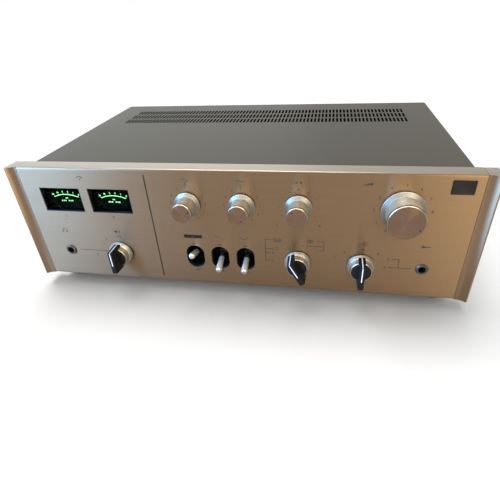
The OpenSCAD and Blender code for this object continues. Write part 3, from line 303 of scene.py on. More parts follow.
class PrintSizes(PropertyGroup):
    """Sizes of what is printed on the panel and on the meters"""

    line: length("Line", "Width of a printed line", 0.55)
    sign_scale: amount("Sign scale", "Size of the signs", 1.3)
    numeral: length("Numeral", "Height of the numbers round the dials", 2.2)
    small_numeral: length("Small numeral", "Height of the numbers round the tone dials", 1.8)
    volume_dial: length("Volume dial", "Radius of the numbers round the volume knob", 21.8)
    tone_dial: length("Tone dial", "Radius of the numbers round a tone knob", 15.7)
    side_dial: length("Side letters", "Distance of L and R from the balance knob's middle", 24.7)
    side_angle: angle("Side angle", "Angle of L and R from the top of the balance knob", 133)
    title: length("Title height", "Height of the signs above the levers", 52.1)
    switch_on: length("ON height", "Height of ON above the panel's lower edge", 44.3)
    switch_off: length("OFF height", "Height of OFF above the panel's lower edge", 15.1)
    dial_title: length("Dial title", "Height of the signs above the turned knobs", 107.0)
    arc: length("Arc", "Radius of a meter's lit arc", 30.6)
    arc_span: angle("Arc span", "Half of the angle that the lit arc spans", 23.5)
    meter_numeral: length("Meter numeral", "Height of the numbers on a meter", 1.4)


class RearSizes(PropertyGroup):
    """Sizes of the sockets and terminals on the back"""

    phono: length("Phono shell", "Radius of a phono socket's shell", 4.15)
    phono_flange: length("Phono flange", "Radius of a phono socket's flange", 6.2)
    phono_length: length("Phono length", "Length of a phono socket's shell", 9.0)
    phono_pitch: length("Phono pitch", "Distance from socket to socket across", 20.0)
    phono_columns: count("Phono columns", "Columns of sockets", 6)
    block_width: length("Block width", "Width of a speaker terminal block", 84.0)
    block_height: length("Block height", "Height of a speaker terminal block", 20.0)
    block: length("Block", "Thickness of a speaker terminal block", 5.0)
    terminals: count("Terminals", "Terminals on a block", 4)
    terminal_head: length("Terminal head", "Radius of a terminal screw's head", 4.0)
    terminal_height: length("Terminal height", "Height of a terminal screw's head", 2.0)
    ground: length("Ground", "Radius of the ground terminal's head", 5.0)
    gland_bore: length("Gland bore", "Radius of the cord gland's bore", 3.8)


class Colours(PropertyGroup):
    """Colours of the finishes"""

    # Part of the panel's and the caps' brown is their own warm aluminium and part a painted reflection of a
    # brown surface in front.
    panel: colour("Panel", "Warm pale gold of the front panel", (0.255, 0.164, 0.095))
    # The edge colour is a lighter copy of the panel's metal for its top and bottom faces: a painted
    # highlight.
    edge: colour("Edges", "Cut edges along the top and bottom of the panel", (0.43, 0.385, 0.31))
    cap: colour("End caps", "Satin aluminium of the end caps", (0.245, 0.16, 0.1))
    knob: colour("Knobs", "Turned aluminium of the knobs", (0.54, 0.5, 0.4))
    knob_rim: colour("Knob rims", "Bright rim round a knob's face", (0.3, 0.255, 0.205))
    skirt: colour("Skirts", "Aluminium of the pointer knobs' skirts", (0.45, 0.41, 0.34))
    knob_face: colour("Knob faces", "Spun faces of the turned knobs", (0.18, 0.11, 0.075))
    cover: colour("Cover", "Brown grey paint of the cover", (0.055, 0.046, 0.03))
    black: colour("Black", "Black mouldings", (0.007, 0.007, 0.007))
    chrome: colour("Chrome", "Plated shafts and nuts", (0.78, 0.77, 0.75))
    lever: colour("Levers", "Satin plate of the levers", (0.84, 0.82, 0.78))
    nickel: colour("Nickel", "Ring nuts round the jacks", (0.115, 0.1, 0.08))
    steel: colour("Zinc", "Zinc plated sheet", (0.45, 0.45, 0.42))
    rubber: colour("Rubber", "Rubber feet", (0.018, 0.018, 0.018))
    ink: colour("Ink", "Dark brown print on the panel", (0.022, 0.013, 0.009))
    white: colour("White", "White lines and marks", (0.75, 0.74, 0.7))
    glow: colour("Glow", "Lit print of the meters", (0.36, 1.0, 0.34))
    scale: colour("Scale", "Dark film behind the meters' print", (0.003, 0.005, 0.004))
    lens: colour("Lens", "Clear lens over a meter", (0.8, 0.9, 0.84))
    plaque: colour("Plaque", "Dark bronze of the bare plaque", (0.022, 0.014, 0.01))
    brass: colour("Brass", "Brass of the terminals", (0.62, 0.47, 0.22))
    red: colour("Red", "Red ring of the right channel's sockets", (0.42, 0.02, 0.02))
    floor: colour("Floor", "Plain pale floor", (0.86, 0.86, 0.855))


class StageSettings(PropertyGroup):
    """Place of the camera, and the strength of the lights"""

    camera_x: length("Camera x", "Place of the camera across the panel", 78.9)
    camera_front: length("Camera distance", "Distance of the camera in front of the panel's face", 291.6)
    camera_up: length("Camera height", "Height of the camera above the panel's lower edge", 233.9)
    heading: angle("Heading", "How far the camera looks round to the left", 12.334)
    pitch: angle("Pitch", "How far the camera looks down", 32.936)
    roll: angle("Roll", "How far the camera leans", -3.739)
    lens: amount("Lens", "Focal length in millimetres", 28.33)
    top: amount("Top", "Strength of the soft light overhead", 2.0)
    top_spread: angle("Top spread", "Angle that the soft light overhead fills", 36)
    top_tilt: angle("Top tilt", "How far that light leans to the back", -14)
    top_lean: angle("Top lean", "How far that light leans to the side", -12)
    cool: amount("Cool", "Power of the cool light at the left", 64.0)
    warm: amount("Warm", "Power of the warm light at the right", 11.0)
    back: amount("Back", "Power of the light behind", 3.0)
    rim: amount("Rim", "Power of the light on the knobs' rims", 24.0)
    streak: amount("Streak", "Power of the lower light on the knobs", 12.0)
    horizon: amount("Horizon", "Brightness of the air at the floor", 1.0)
    zenith: amount("Zenith", "Brightness of the air overhead", 0.65)


def face_frame(place, turn=0.0):
    """A frame on the panel: its x runs right, its y up and its z out at the viewer, turned clockwise."""
    upright = Matrix(((1, 0, 0), (0, 0, -1), (0, 1, 0))).to_4x4()
    return Matrix.Translation(place) @ upright @ Matrix.Rotation(-turn, 4, "Z")


def rear_frame(place):
    """A frame on the back: its z runs out to the rear and its y up."""
    upright = Matrix(((-1, 0, 0), (0, 0, 1), (0, 1, 0))).to_4x4()
    return Matrix.Translation(place) @ upright


def panel_frame():
    """The panel's own frame: x across, y up from the lower edge, z out from the face."""
    return face_frame(Vector((0.0, FACE_Y, PANEL_LOW.z)))


def control_frame(joint, turn=0.0):
    """The frame of a control on the panel's face, turned to the angle at which it rests."""
    place = JOINTS[joint]
    return face_frame(Vector((place.x, FACE_Y, place.z)), turn)


def middle_of(name):
    """The middle of a CAD node's box."""
    low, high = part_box(name)
    return (low + high) / 2


def moved_verts(made):
    """The vertices among what an extrusion made."""
    return [item for item in made["geom"] if isinstance(item, bmesh.types.BMVert)]


def unique(items):
    """The items in their order, each of them once, so that every run makes the same mesh."""
    return list(dict.fromkeys(items))


def absorb(bm, part, place=None, material=None):
    """Moves a finished part to its place and joins it to a piece's mesh."""
    if place is not None:
        bmesh.ops.transform(part, matrix=place, verts=part.verts)
    if material is not None:
        for face in part.faces:
            face.material_index = material
    holder = bpy.data.meshes.new("holder")
    part.to_mesh(holder)
    part.free()
    bm.from_mesh(holder)
    bpy.data.meshes.remove(holder)


def close_up(part):
    """Merges doubled vertices and turns the faces outwards."""
    bmesh.ops.remove_doubles(part, verts=part.verts, dist=MERGE)
    bmesh.ops.recalc_face_normals(part, faces=part.faces)


def wire(part, points, closed=False):
    """A chain of edges through a few points."""
    verts = [part.verts.new(point) for point in points]
    pairs = list(zip(verts, verts[1:]))
    if closed:
        pairs.append((verts[-1], verts[0]))
    edges = [part.edges.new(pair) for pair in pairs]
    return verts, edges


def turned(bm, profile, place, steps, rounding=0.0, closed=False, paint=None, material=0):
    """Spins a profile of (radius, height) points about the frame's z, with its corners rounded."""
    part = bmesh.new()
    verts = wire(part, [(radius, 0.0, height) for radius, height in profile], closed)[0]
    corners = [vert for vert in verts if len(vert.link_edges) == 2 and vert.co.x > rounding]
    if rounding:
        bmesh.ops.bevel(
            part, geom=corners, offset=rounding, offset_type="OFFSET", segments=3, profile=0.5,
            affect="VERTICES", material=-1, clamp_overlap=True,
        )
    bmesh.ops.spin(
        part, geom=part.verts[:] + part.edges[:], cent=(0, 0, 0), axis=(0, 0, 1), dvec=(0, 0, 0),
        angle=2 * math.pi, steps=steps, use_merge=True, use_duplicate=False,
    )
    close_up(part)
    for face in part.faces:
        middle = face.calc_center_median()
        if paint is not None:
            face.material_index = paint(math.hypot(middle.x, middle.y), middle.z)
        else:
            face.material_index = material
    absorb(bm, part, place)


def cube(part, low, high):
    """A box between two corners, in a part of its own."""
    low = Vector(low)
    high = Vector(high)
    bmesh.ops.create_cube(part, size=1.0)
    bmesh.ops.scale(part, vec=high - low, verts=part.verts)
    bmesh.ops.translate(part, vec=(low + high) / 2, verts=part.verts)


def block(bm, low, high, place=None, bevel=0.0, material=0):
    """A box between two corners with its edges bevelled, joined to a piece."""
    part = bmesh.new()
    cube(part, low, high)
    if bevel:
        bevel_edges(part, part.edges[:], bevel)
    absorb(bm, part, place, material)


def bevel_edges(part, edges, width, segments=2):
    """Rounds some edges."""
    bmesh.ops.bevel(
        part, geom=edges, offset=width, offset_type="OFFSET", segments=segments, profile=0.5,
        affect="EDGES", material=-1, clamp_overlap=True,
    )


def round_loop(part, radius, x, y, z, stretch=0.0, steps=48):
    """A circle of edges, or an upright oval where its two halves are drawn apart."""
    half_step = Matrix.Rotation(math.pi / steps, 4, "Z")
    made = bmesh.ops.create_circle(
        part, cap_ends=False, segments=steps, radius=radius, matrix=half_step,
    )
    for vert in made["verts"]:
        vert.co.y += math.copysign(stretch, vert.co.y)
    bmesh.ops.translate(part, vec=(x, y, z), verts=made["verts"])
    return unique(edge for vert in made["verts"] for edge in vert.link_edges)


def square_loop(part, width, height, x, y, z):
    """A rectangle of edges."""
    corners = [(-1, -1), (1, -1), (1, 1), (-1, 1)]
    points = [(x + i * width / 2, y + j * height / 2, z) for i, j in corners]
    return wire(part, points, closed=True)[1]


def sunk_loops(part, loop, depths, grow):
    """An opening's loop on the face, grown by its chamfer, bridged to the same loop further in."""
    loops = [loop(grow, 0.0)]
    for depth in depths:
        loops.append(loop(0.0, -depth))
    for front, back in zip(loops, loops[1:]):
        bmesh.ops.bridge_loops(part, edges=front + back)
    return loops[0], loops[-1]


def extruded(bm, outline, depth, place, material=0):
    """A flat outline of (x, y) points, extruded along the frame's z."""
    part = bmesh.new()
    verts = [part.verts.new((x, y, 0.0)) for x, y in outline]
    face = part.faces.new(verts)
    made = bmesh.ops.extrude_face_region(part, geom=[face])
    bmesh.ops.translate(part, vec=(0, 0, depth), verts=moved_verts(made))
    close_up(part)
    absorb(bm, part, place, material)


def arc_strip(bm, inner, outer, start, sweep, height, place, steps, material=0):
    """A flat strip along an arc, clockwise from the top, with a little thickness."""
    part = bmesh.new()
    points = [(0, inner, 0), (0, outer, 0), (0, outer, height), (0, inner, height)]
    edges = wire(part, points, closed=True)[1]
    bmesh.ops.rotate(part, cent=(0, 0, 0), matrix=Matrix.Rotation(-start, 3, "Z"), verts=part.verts)
    whole = math.isclose(sweep, 2 * math.pi)
    bmesh.ops.spin(
        part, geom=part.verts[:] + edges, cent=(0, 0, 0), axis=(0, 0, -1), dvec=(0, 0, 0),
        angle=sweep, steps=steps, use_merge=whole, use_duplicate=False,
    )
    if not whole:
        bmesh.ops.holes_fill(part, edges=part.edges, sides=4)
    close_up(part)
    absorb(bm, part, place, material)


# Height of a capital letter or number as a share of the font's size.
CAPITAL = 0.7


def lettering(bm, text, height, thickness, place, material=0):
    """Plain numbers or letters as a thin raised print, centred on the frame."""
    curve = bpy.data.curves.new("lettering", "FONT")
    curve.body = text
    curve.size = height / CAPITAL
    curve.align_x = "CENTER"
    curve.align_y = "CENTER"
    curve.offset = BOLD
    curve.extrude = thickness / 2
    holder = bpy.data.objects.new("lettering", curve)
    mesh = bpy.data.meshes.new_from_object(holder)
    part = bmesh.new()
    part.from_mesh(mesh)
    bpy.data.objects.remove(holder)
    bpy.data.curves.remove(curve)
    bpy.data.meshes.remove(mesh)
    lows = [min(vert.co[i] for vert in part.verts) for i in range(2)]
    highs = [max(vert.co[i] for vert in part.verts) for i in range(2)]
    shift = (-(lows[0] + highs[0]) / 2, -(lows[1] + highs[1]) / 2, thickness / 2)
    bmesh.ops.translate(part, vec=shift, verts=part.verts)
    absorb(bm, part, place, material)


def make_piece(name, bm, finishes, body, stands_for=(), sharp=30, rings=None):
    """Turns a mesh into a piece with named finishes, which rides on a body and stands for CAD nodes."""
    mesh = bpy.data.meshes.new(name)
    bm.to_mesh(mesh)
    bm.free()
    for finish_name in finishes:
        mesh.materials.append(FINISHES[finish_name])
    mesh.shade_smooth()
    mesh.set_sharp_from_angle(angle=math.radians(sharp))
    if rings is not None:
        attribute = mesh.attributes.new("radius", "FLOAT", "POINT")
        for vert, value in zip(mesh.vertices, attribute.data):
            value.value = math.hypot(vert.co.x - rings.x, vert.co.z - rings.z)
    piece = bpy.data.objects.new(name, mesh)
    bpy.context.scene.collection.objects.link(piece)
    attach(piece, body)
    if stands_for:
        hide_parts(*stands_for)
    return piece


def rim_lit(piece):
    """Lets the rim and streak lights fall on a piece."""
    bpy.data.collections[RIM_LIT].objects.link(piece)


# The part of a noise's range that a grain spreads over the whole range of a finish.
GRAIN_LOW = 0.3
GRAIN_HIGH = 0.7

# How deep a grain is: in metal and paint, in mouldings and boards, in rubber, and in the pieces named.
FINE_DEPTH = 0.02 * MM
MOULD_DEPTH = 0.03 * MM
RUBBER_DEPTH = 0.05 * MM
TAPE_DEPTH = 0.08 * MM
LAMINATION_DEPTH = 0.1 * MM
PLAQUE_DEPTH = 0.01 * MM

# Distances from ring to ring that a lathe leaves on a knob's sides and on its face.
LATHE_PITCH = 0.4 * MM
FACE_PITCH = 0.3 * MM

# Turns the pull of a reflection from round a turned piece to along its radius, in full turns.
ALONG_RADIUS = 0.25

# Features of the grain per metre where a finish has the same grain all round.
EVEN = (900.0,) * 3


def new_finish(name):
    """An empty finish, with its node tree and its shader."""
    material = bpy.data.materials.new(name)
    material.use_nodes = True
    return material, material.node_tree, material.node_tree.nodes["Principled BSDF"]


def grain(tree, stretch, detail=3.0):
    """Noise over the object, with features 1 / stretch metres long along each axis."""
    coords = tree.nodes.new("ShaderNodeTexCoord")
    mapping = tree.nodes.new("ShaderNodeMapping")
    noise = tree.nodes.new("ShaderNodeTexNoise")
    mapping.inputs["Scale"].default_value = stretch
    noise.inputs["Scale"].default_value = 1.0
    noise.inputs["Detail"].default_value = detail
    tree.links.new(coords.outputs["Object"], mapping.inputs["Vector"])
    tree.links.new(mapping.outputs["Vector"], noise.inputs["Vector"])
    return noise.outputs["Fac"]


def ring_grain(tree, pitch):
    """Noise along a turned piece's radius, as a lathe leaves it."""
    radius = tree.nodes.new("ShaderNodeAttribute")
    radius.attribute_name = "radius"
    noise = tree.nodes.new("ShaderNodeTexNoise")
    noise.noise_dimensions = "1D"
    noise.inputs["Scale"].default_value = 1.0 / pitch
    noise.inputs["Detail"].default_value = 2.0
    tree.links.new(radius.outputs["Fac"], noise.inputs["W"])
    return noise.outputs["Fac"]


def tint(tree, shader, source, base, spread):
    """Varies the base colour a little with a pattern."""
    ramp = tree.nodes.new("ShaderNodeValToRGB")
    low, high = ramp.color_ramp.elements
    low.position = GRAIN_LOW
    high.position = GRAIN_HIGH
    low.color = [channel * (1.0 - spread) for channel in base] + [1.0]
    high.color = [min(channel * (1.0 + spread), 1.0) for channel in base] + [1.0]
    tree.links.new(source, ramp.inputs["Fac"])
    tree.links.new(ramp.outputs["Color"], shader.inputs["Base Color"])


def roughen(tree, shader, source, rough):
    """Varies the roughness between two values with a pattern."""
    remap = tree.nodes.new("ShaderNodeMapRange")
    remap.inputs["From Min"].default_value = GRAIN_LOW
    remap.inputs["From Max"].default_value = GRAIN_HIGH
    remap.inputs["To Min"].default_value = rough[0]
    remap.inputs["To Max"].default_value = rough[1]
    tree.links.new(source, remap.inputs["Value"])
    tree.links.new(remap.outputs["Result"], shader.inputs["Roughness"])


def emboss(tree, shader, source, depth, strength=0.4):
    """Raises the surface a little with a pattern."""
    bump = tree.nodes.new("ShaderNodeBump")
    bump.inputs["Strength"].default_value = strength
    bump.inputs["Distance"].default_value = depth
    tree.links.new(source, bump.inputs["Height"])
    tree.links.new(bump.outputs["Normal"], shader.inputs["Normal"])


def finish(name, base, rough, stretch, spread, metal=0.0, depth=0.0, gloss=0.5, sheen=(1.0, 1.0, 1.0)):
    """A surface whose colour, roughness and height follow one grain, with a tinted sheen."""
    material, tree, shader = new_finish(name)
    source = grain(tree, stretch)
    shader.inputs["Metallic"].default_value = metal
    shader.inputs["Specular IOR Level"].default_value = gloss
    shader.inputs["Specular Tint"].default_value = (*sheen, 1.0)
    tint(tree, shader, source, base, spread)
    roughen(tree, shader, source, rough)
    if depth:
        emboss(tree, shader, source, depth)
    return material


def pulled_out(tree, shader, pull, axis):
    """Makes a surface bare metal, with its reflections pulled out round an axis of the object."""
    shader.inputs["Metallic"].default_value = 1.0
    shader.inputs["Anisotropic"].default_value = pull
    tangent = tree.nodes.new("ShaderNodeTangent")
    tangent.direction_type = "RADIAL"
    tangent.axis = axis
    tree.links.new(tangent.outputs["Tangent"], shader.inputs["Tangent"])


def brushed(name, base, rough, stretch, pull):
    """Brushed metal: long fine scratches, and reflections pulled out across them."""
    material, tree, shader = new_finish(name)
    source = grain(tree, stretch, detail=4.0)
    pulled_out(tree, shader, pull, "X")
    tint(tree, shader, source, base, spread=0.07)
    roughen(tree, shader, source, rough)
    emboss(tree, shader, source, FINE_DEPTH, strength=0.25)
    return material


def spun(name, base, rough, pitch, pull):
    """Metal turned on a lathe: fine rings, and reflections pulled out along the radius."""
    material, tree, shader = new_finish(name)
    source = ring_grain(tree, pitch)
    pulled_out(tree, shader, pull, "Y")
    shader.inputs["Anisotropic Rotation"].default_value = ALONG_RADIUS
    tint(tree, shader, source, base, spread=0.08)
    roughen(tree, shader, source, rough)
    emboss(tree, shader, source, FINE_DEPTH, strength=0.2)
    return material


def lit(name, base, strength):
    """A print lit from behind, a little uneven along its length."""
    material, tree, shader = new_finish(name)
    source = grain(tree, (180.0,) * 3, detail=1.0)
    tint(tree, shader, source, base, spread=0.15)
    shader.inputs["Roughness"].default_value = 0.6
    shader.inputs["Emission Color"].default_value = list(base) + [1.0]
    shader.inputs["Emission Strength"].default_value = strength
    return material


def clear(name, base, rough, bend):
    """Clear plastic with a faint ripple, and the given index of refraction."""
    material, tree, shader = new_finish(name)
    source = grain(tree, (60.0,) * 3, detail=1.0)
    shader.inputs["Base Color"].default_value = list(base) + [1.0]
    shader.inputs["Transmission Weight"].default_value = 1.0
    shader.inputs["IOR"].default_value = bend
    roughen(tree, shader, source, rough)
    return material


def make_finishes(colours):
    """Every finish of the amplifier, by name."""
    return {
        "panel": brushed("panel_brushed", colours.panel, (0.36, 0.44), (16.0, 16.0, 2600.0), 0.9),
        "edge": brushed("panel_edge_brushed", colours.edge, (0.3, 0.38), (16.0, 2600.0, 16.0), 0.5),
        "cap": brushed("cap_satin", colours.cap, (0.34, 0.44), (300.0, 300.0, 12.0), 0.85),
        "knob": spun("knob_turned", colours.knob, (0.38, 0.46), LATHE_PITCH, 0.3),
        "knob_rim": spun("knob_rim_polished", colours.knob_rim, (0.2, 0.28), LATHE_PITCH, 0.5),
        # A darker copy of the knobs' aluminium for the flange's slope and the band behind the rim: painted
        # shade.
        "knob_slope": spun("knob_slope_turned", (0.18, 0.165, 0.14), (0.36, 0.44), LATHE_PITCH, 0.4),
        "skirt": spun("skirt_turned", colours.skirt, (0.34, 0.42), LATHE_PITCH, 0.4),
        "knob_face": spun("knob_face_spun", colours.knob_face, (0.22, 0.3), FACE_PITCH, 0.85),
        "cover": finish(
            "cover_paint", colours.cover, (0.4, 0.48), (1300.0,) * 3, 0.15,
            depth=FINE_DEPTH, gloss=0.2, sheen=(1.0, 0.95, 0.85),
        ),
        "slot": finish("slot_shade", (0.012, 0.011, 0.009), (0.6, 0.75), EVEN, 0.2, gloss=0.1),
        "black": finish(
            "black_moulding", colours.black, (0.34, 0.46), (1400.0,) * 3, 0.2, depth=FINE_DEPTH, gloss=0.14,
        ),
        "hub": finish(
            "black_hub", colours.black, (0.42, 0.55), (1200.0,) * 3, 0.2, depth=MOULD_DEPTH, gloss=0.2,
        ),
        "chrome": finish("chrome_plate", colours.chrome, (0.07, 0.13), (300.0,) * 3, 0.03, metal=1.0),
        "lever": finish("lever_satin", colours.lever, (0.3, 0.4), (500.0,) * 3, 0.05, metal=0.9),
        # A darker copy of the levers' satin for their end faces: painted shade.
        "lever_end": finish(
            "lever_end_satin", (0.4, 0.38, 0.36), (0.38, 0.48), (500.0,) * 3, 0.05, metal=0.9,
        ),
        "nickel": finish("nickel_plate", colours.nickel, (0.4, 0.5), (400.0,) * 3, 0.06, metal=1.0),
        "steel": finish(
            "zinc_plate", colours.steel, (0.32, 0.46), (120.0,) * 3, 0.12, metal=1.0, depth=FINE_DEPTH,
        ),
        "screw": finish("screw_plate", (0.16, 0.155, 0.15), (0.3, 0.42), (500.0,) * 3, 0.15, metal=1.0),
        "rubber": finish("foot_rubber", colours.rubber, (0.6, 0.78), (1100.0,) * 3, 0.2, depth=RUBBER_DEPTH),
        "ink": finish("panel_ink", colours.ink, (0.4, 0.55), EVEN, 0.12),
        "white": finish("white_paint", colours.white, (0.4, 0.55), EVEN, 0.05),
        "glow": lit("meter_glow", colours.glow, 1.2),
        "numbers": lit("meter_numbers", (0.5, 1.0, 0.45), 0.95),
        "scale": finish("meter_scale", colours.scale, (0.4, 0.55), EVEN, 0.2, gloss=0.0),
        "lens": clear("meter_lens", colours.lens, (0.01, 0.03), 1.04),
        "lamp": clear("meter_lamp", (0.85, 0.95, 0.88), (0.05, 0.12), 1.46),
        "needle": finish("needle_paint", (0.012, 0.01, 0.008), (0.5, 0.6), EVEN, 0.2, gloss=0.1),
        "plaque": finish(
            "plaque_bronze", colours.plaque, (0.3, 0.42), (60.0, 60.0, 1600.0), 0.2,
            metal=0.7, depth=PLAQUE_DEPTH,
        ),
        "brass": finish("terminal_brass", colours.brass, (0.2, 0.32), (600.0,) * 3, 0.1, metal=1.0),
        "red": finish("red_ring", colours.red, (0.3, 0.42), EVEN, 0.1),
        "pale": finish("pale_ring", (0.62, 0.6, 0.55), (0.35, 0.45), EVEN, 0.06),
        "board": finish(
            "circuit_board", (0.42, 0.24, 0.08), (0.45, 0.6), (260.0,) * 3, 0.2, depth=MOULD_DEPTH,
        ),
        "sink": finish(
            "sink_anodised", (0.02, 0.02, 0.021), (0.4, 0.52), (40.0, 40.0, 700.0), 0.2, metal=0.6,
        ),
        "core": finish(
            "core_laminations", (0.05, 0.045, 0.04), (0.4, 0.6), (20.0, 1600.0, 20.0), 0.5,
            metal=0.6, depth=LAMINATION_DEPTH,
        ),
        "coil": finish(
            "coil_tape", (0.34, 0.2, 0.06), (0.35, 0.5), (30.0, 30.0, 500.0), 0.25, depth=TAPE_DEPTH,
        ),
        "sleeve": finish("capacitor_sleeve", (0.02, 0.05, 0.12), (0.25, 0.35), (90.0,) * 3, 0.15),
        "phenolic": finish(
            "switch_phenolic", (0.2, 0.1, 0.035), (0.45, 0.6), (700.0,) * 3, 0.2, depth=FINE_DEPTH,
        ),
        "magnet": finish(
            "meter_magnet", (0.1, 0.1, 0.105), (0.5, 0.65), (800.0,) * 3, 0.2, metal=0.5, depth=MOULD_DEPTH,
        ),
    }


FINISHES = {}

# The finish of each CAD node that stays as it is.
NODE_FINISHES = {
    "steel": ("chassis_pan", "subpanel", "control_pots", "output_transistors"),
    "chrome": ("panel_screws", "control_nuts", "lever_pins", *[name + "_shaft" for name in ROTARY]),
    "cover": ("rear_panel",),
    "black": ("meter_cases", "lever_switches"),
    "nickel": JACKS,
    "phenolic": ("rotary_switches", "board_standoffs"),
    "lens": ("meter_lenses",),
    "lamp": ("meter_lamps",),
    # The lever cups take the dark meter film, darker and duller than their black moulding: painted shade in
    # the lever recesses.
    "scale": ("meter_scales", "lever_cups"),
    "magnet": ("meter_magnets",),
    "needle": ("left_needle", "right_needle"),
    "board": ("tone_board", "main_board"),
    "sink": ("heat_sink",),
    "sleeve": ("filter_capacitors",),
    "core": ("transformer_core",),
    "coil": ("transformer_coil",),
}


class AMPLIFIER_OT_finishes(Operator):
    """Makes the finishes, and gives them to the CAD nodes that stay as they are"""

    bl_idname = "amplifier.finishes"
    bl_label = "Finishes"

    def execute(self, context):
        FINISHES.update(make_finishes(context.scene.amplifier_colours))
        for name, nodes in NODE_FINISHES.items():
            for node in nodes:
                slots = frame["nodes"][node].data.materials
                slots.clear()
                slots.append(FINISHES[name])
        return {"FINISHED"}


# How far a face is turned up or down where it takes the lighter edge finish, a painted highlight, on the
# panel and on a cap's end, and how far at most where it counts as the wall of a vent slot.
EDGE_FACING = 0.85
CAP_FACING = 0.6
SLOT_FACING = 0.5


class AMPLIFIER_OT_fascia(Operator):
    """Front panel: a brushed plate with chamfered openings, and lips along its top and bottom"""

    bl_idname = "amplifier.fascia"
    bl_label = "Front panel"

    def execute(self, context):
        sizes = context.scene.amplifier_panel
        bm = bmesh.new()
        part = bmesh.new()
        long_edges = self.section(part, sizes)
        fronts, backs = self.openings(part, sizes)
        self.fill(part, long_edges[0], fronts)
        self.fill(part, long_edges[1], backs)
        ends = [edge for edge in part.edges if edge.is_boundary]
        bmesh.ops.holes_fill(part, edges=ends, sides=0)
        close_up(part)
        finishes = ("panel", "ink", "edge", "hub")
        for face in part.faces:
            face.material_index = finishes.index(self.paint(face, sizes))
        absorb(bm, part, panel_frame())
        make_piece("front_panel", bm, finishes, "chassis", ["fascia"], sharp=25)
        return {"FINISHED"}

    def paint(self, face, sizes):
        """Names a face's finish: the plate, the divider's ink, a top or bottom face lightened as a painted
        highlight, or an opening's wall and chamfer darkened as painted shade.
        """
        middle = face.calc_center_median()
        sunk = NEAR - sizes.plate < middle.z < -NEAR
        inside = sizes.lip < middle.y < PANEL_H - sizes.lip and abs(middle.x) < PANEL_HIGH.x - sizes.lip
        # The walls and chamfers of the windows, ovals and holes take the black hub finish: painted shade in
        # the openings.
        if sunk and inside:
            in_divider = abs(middle.x - sizes.divider_x) < sizes.divider_width / 2 + NEAR
            return "ink" if in_divider else "hub"
        # Faces along the top and bottom take the lighter edge finish: a painted highlight.
        at_edge = min(middle.y, PANEL_H - middle.y) < sizes.edge
        return "edge" if at_edge and abs(face.normal.y) > EDGE_FACING else "panel"

    def section(self, part, sizes):
        """Draws the lips with the panel's round edges; returns the long front and back edges."""
        reach = PANEL_HIGH.x - PANEL_LOW.x
        fronts = []
        backs = []
        for side in (0, 1):
            outline = [
                (2 * sizes.edge, 0.0), (0.0, 0.0), (0.0, -sizes.lip_depth),
                (sizes.lip, -sizes.lip_depth), (sizes.lip, -sizes.plate),
            ]
            points = [(PANEL_LOW.x, PANEL_H - y if side else y, z) for y, z in outline]
            verts, edges = wire(part, points)
            made = bmesh.ops.bevel(
                part, geom=[verts[1]], offset=sizes.edge, offset_type="OFFSET", segments=6, profile=0.5,
                affect="VERTICES", material=-1, clamp_overlap=True,
            )
            chain = [edge for vert in made["verts"] for edge in vert.link_edges]
            chain = unique(chain + [edge for edge in edges if edge.is_valid])
            far = moved_verts(bmesh.ops.extrude_edge_only(part, edges=chain))
            bmesh.ops.translate(part, vec=(reach, 0, 0), verts=far)
            fronts.append(self.along(far, 0.0))
            backs.append(self.along(far, -sizes.plate))
        return fronts, backs

    def along(self, verts, z):
        """The long edge from the vertex at a height z that lies nearest the panel's middle line."""
        level = [vert for vert in verts if abs(vert.co.z - z) < NEAR]
        nearest = min(level, key=lambda vert: abs(vert.co.y - PANEL_H / 2))
        return max(nearest.link_edges, key=lambda edge: edge.calc_length())

    def openings(self, part, sizes):
        """Cuts the windows, ovals, holes and divider; returns their loops on the face and on the back."""
        fronts = []
        backs = []
        depths = (sizes.chamfer, sizes.plate)
        hole_depths = (HOLE_CHAMFER, sizes.plate)
        for name in LEVERS:
            x, y = self.spot(name + "_tip")
            stretch = (sizes.oval_height - sizes.oval_width) / 2

            def oval(grow, z, x=x, y=y, stretch=stretch):
                return round_loop(part, sizes.oval_width / 2 + grow, x, y, z, stretch)

            self.keep(fronts, backs, sunk_loops(part, oval, depths, sizes.chamfer))
        for name in CHANNELS:
            x = JOINTS[name + "_needle_swing"].x

            def window(grow, z, x=x):
                width = sizes.window_width + 2 * grow
                height = sizes.window_height + 2 * grow
                return square_loop(part, width, height, x, sizes.window_z, z)

            self.keep(fronts, backs, sunk_loops(part, window, depths, sizes.chamfer))
        holes = [(*self.spot(name + "_turn"), sizes.shaft_hole) for name in ROTARY]
        for name in JACKS:
            middle = middle_of(name)
            holes.append((middle.x, middle.z - PANEL_LOW.z, sizes.jack_hole))
        for x, y, radius in holes:

            def hole(grow, z, x=x, y=y, radius=radius):
                return round_loop(part, radius + grow, x, y, z)

            self.keep(fronts, backs, sunk_loops(part, hole, hole_depths, HOLE_CHAMFER))
        tall = PANEL_H - 2 * DIVIDER_END

        def groove(grow, z):
            return square_loop(part, sizes.divider_width + grow, tall + grow, sizes.divider_x, PANEL_H / 2, z)

        front, floor = sunk_loops(part, groove, (DIVIDER_DEPTH,), 0.0)
        bmesh.ops.contextual_create(part, geom=floor)
        fronts.append(front)
        return fronts, backs

    def spot(self, joint):
        """A control's place across the panel and above its lower edge."""
        return JOINTS[joint].x, JOINTS[joint].z - PANEL_LOW.z

    def keep(self, fronts, backs, loops):
        """Notes an opening's loop on the face and on the back."""
        fronts.append(loops[0])
        backs.append(loops[1])

    def fill(self, part, long_edges, loops):
        """Fills a side of the plate between its long edges and round its openings."""
        lower, upper = [sorted(edge.verts, key=lambda vert: vert.co.x) for edge in long_edges]
        ends = [part.edges.new((low, high)) for low, high in zip(lower, upper)]
        edges = list(long_edges) + ends + [edge for loop in loops for edge in loop]
        bmesh.ops.triangle_fill(part, use_beauty=True, use_dissolve=False, edges=edges, normal=(0, 0, 1))


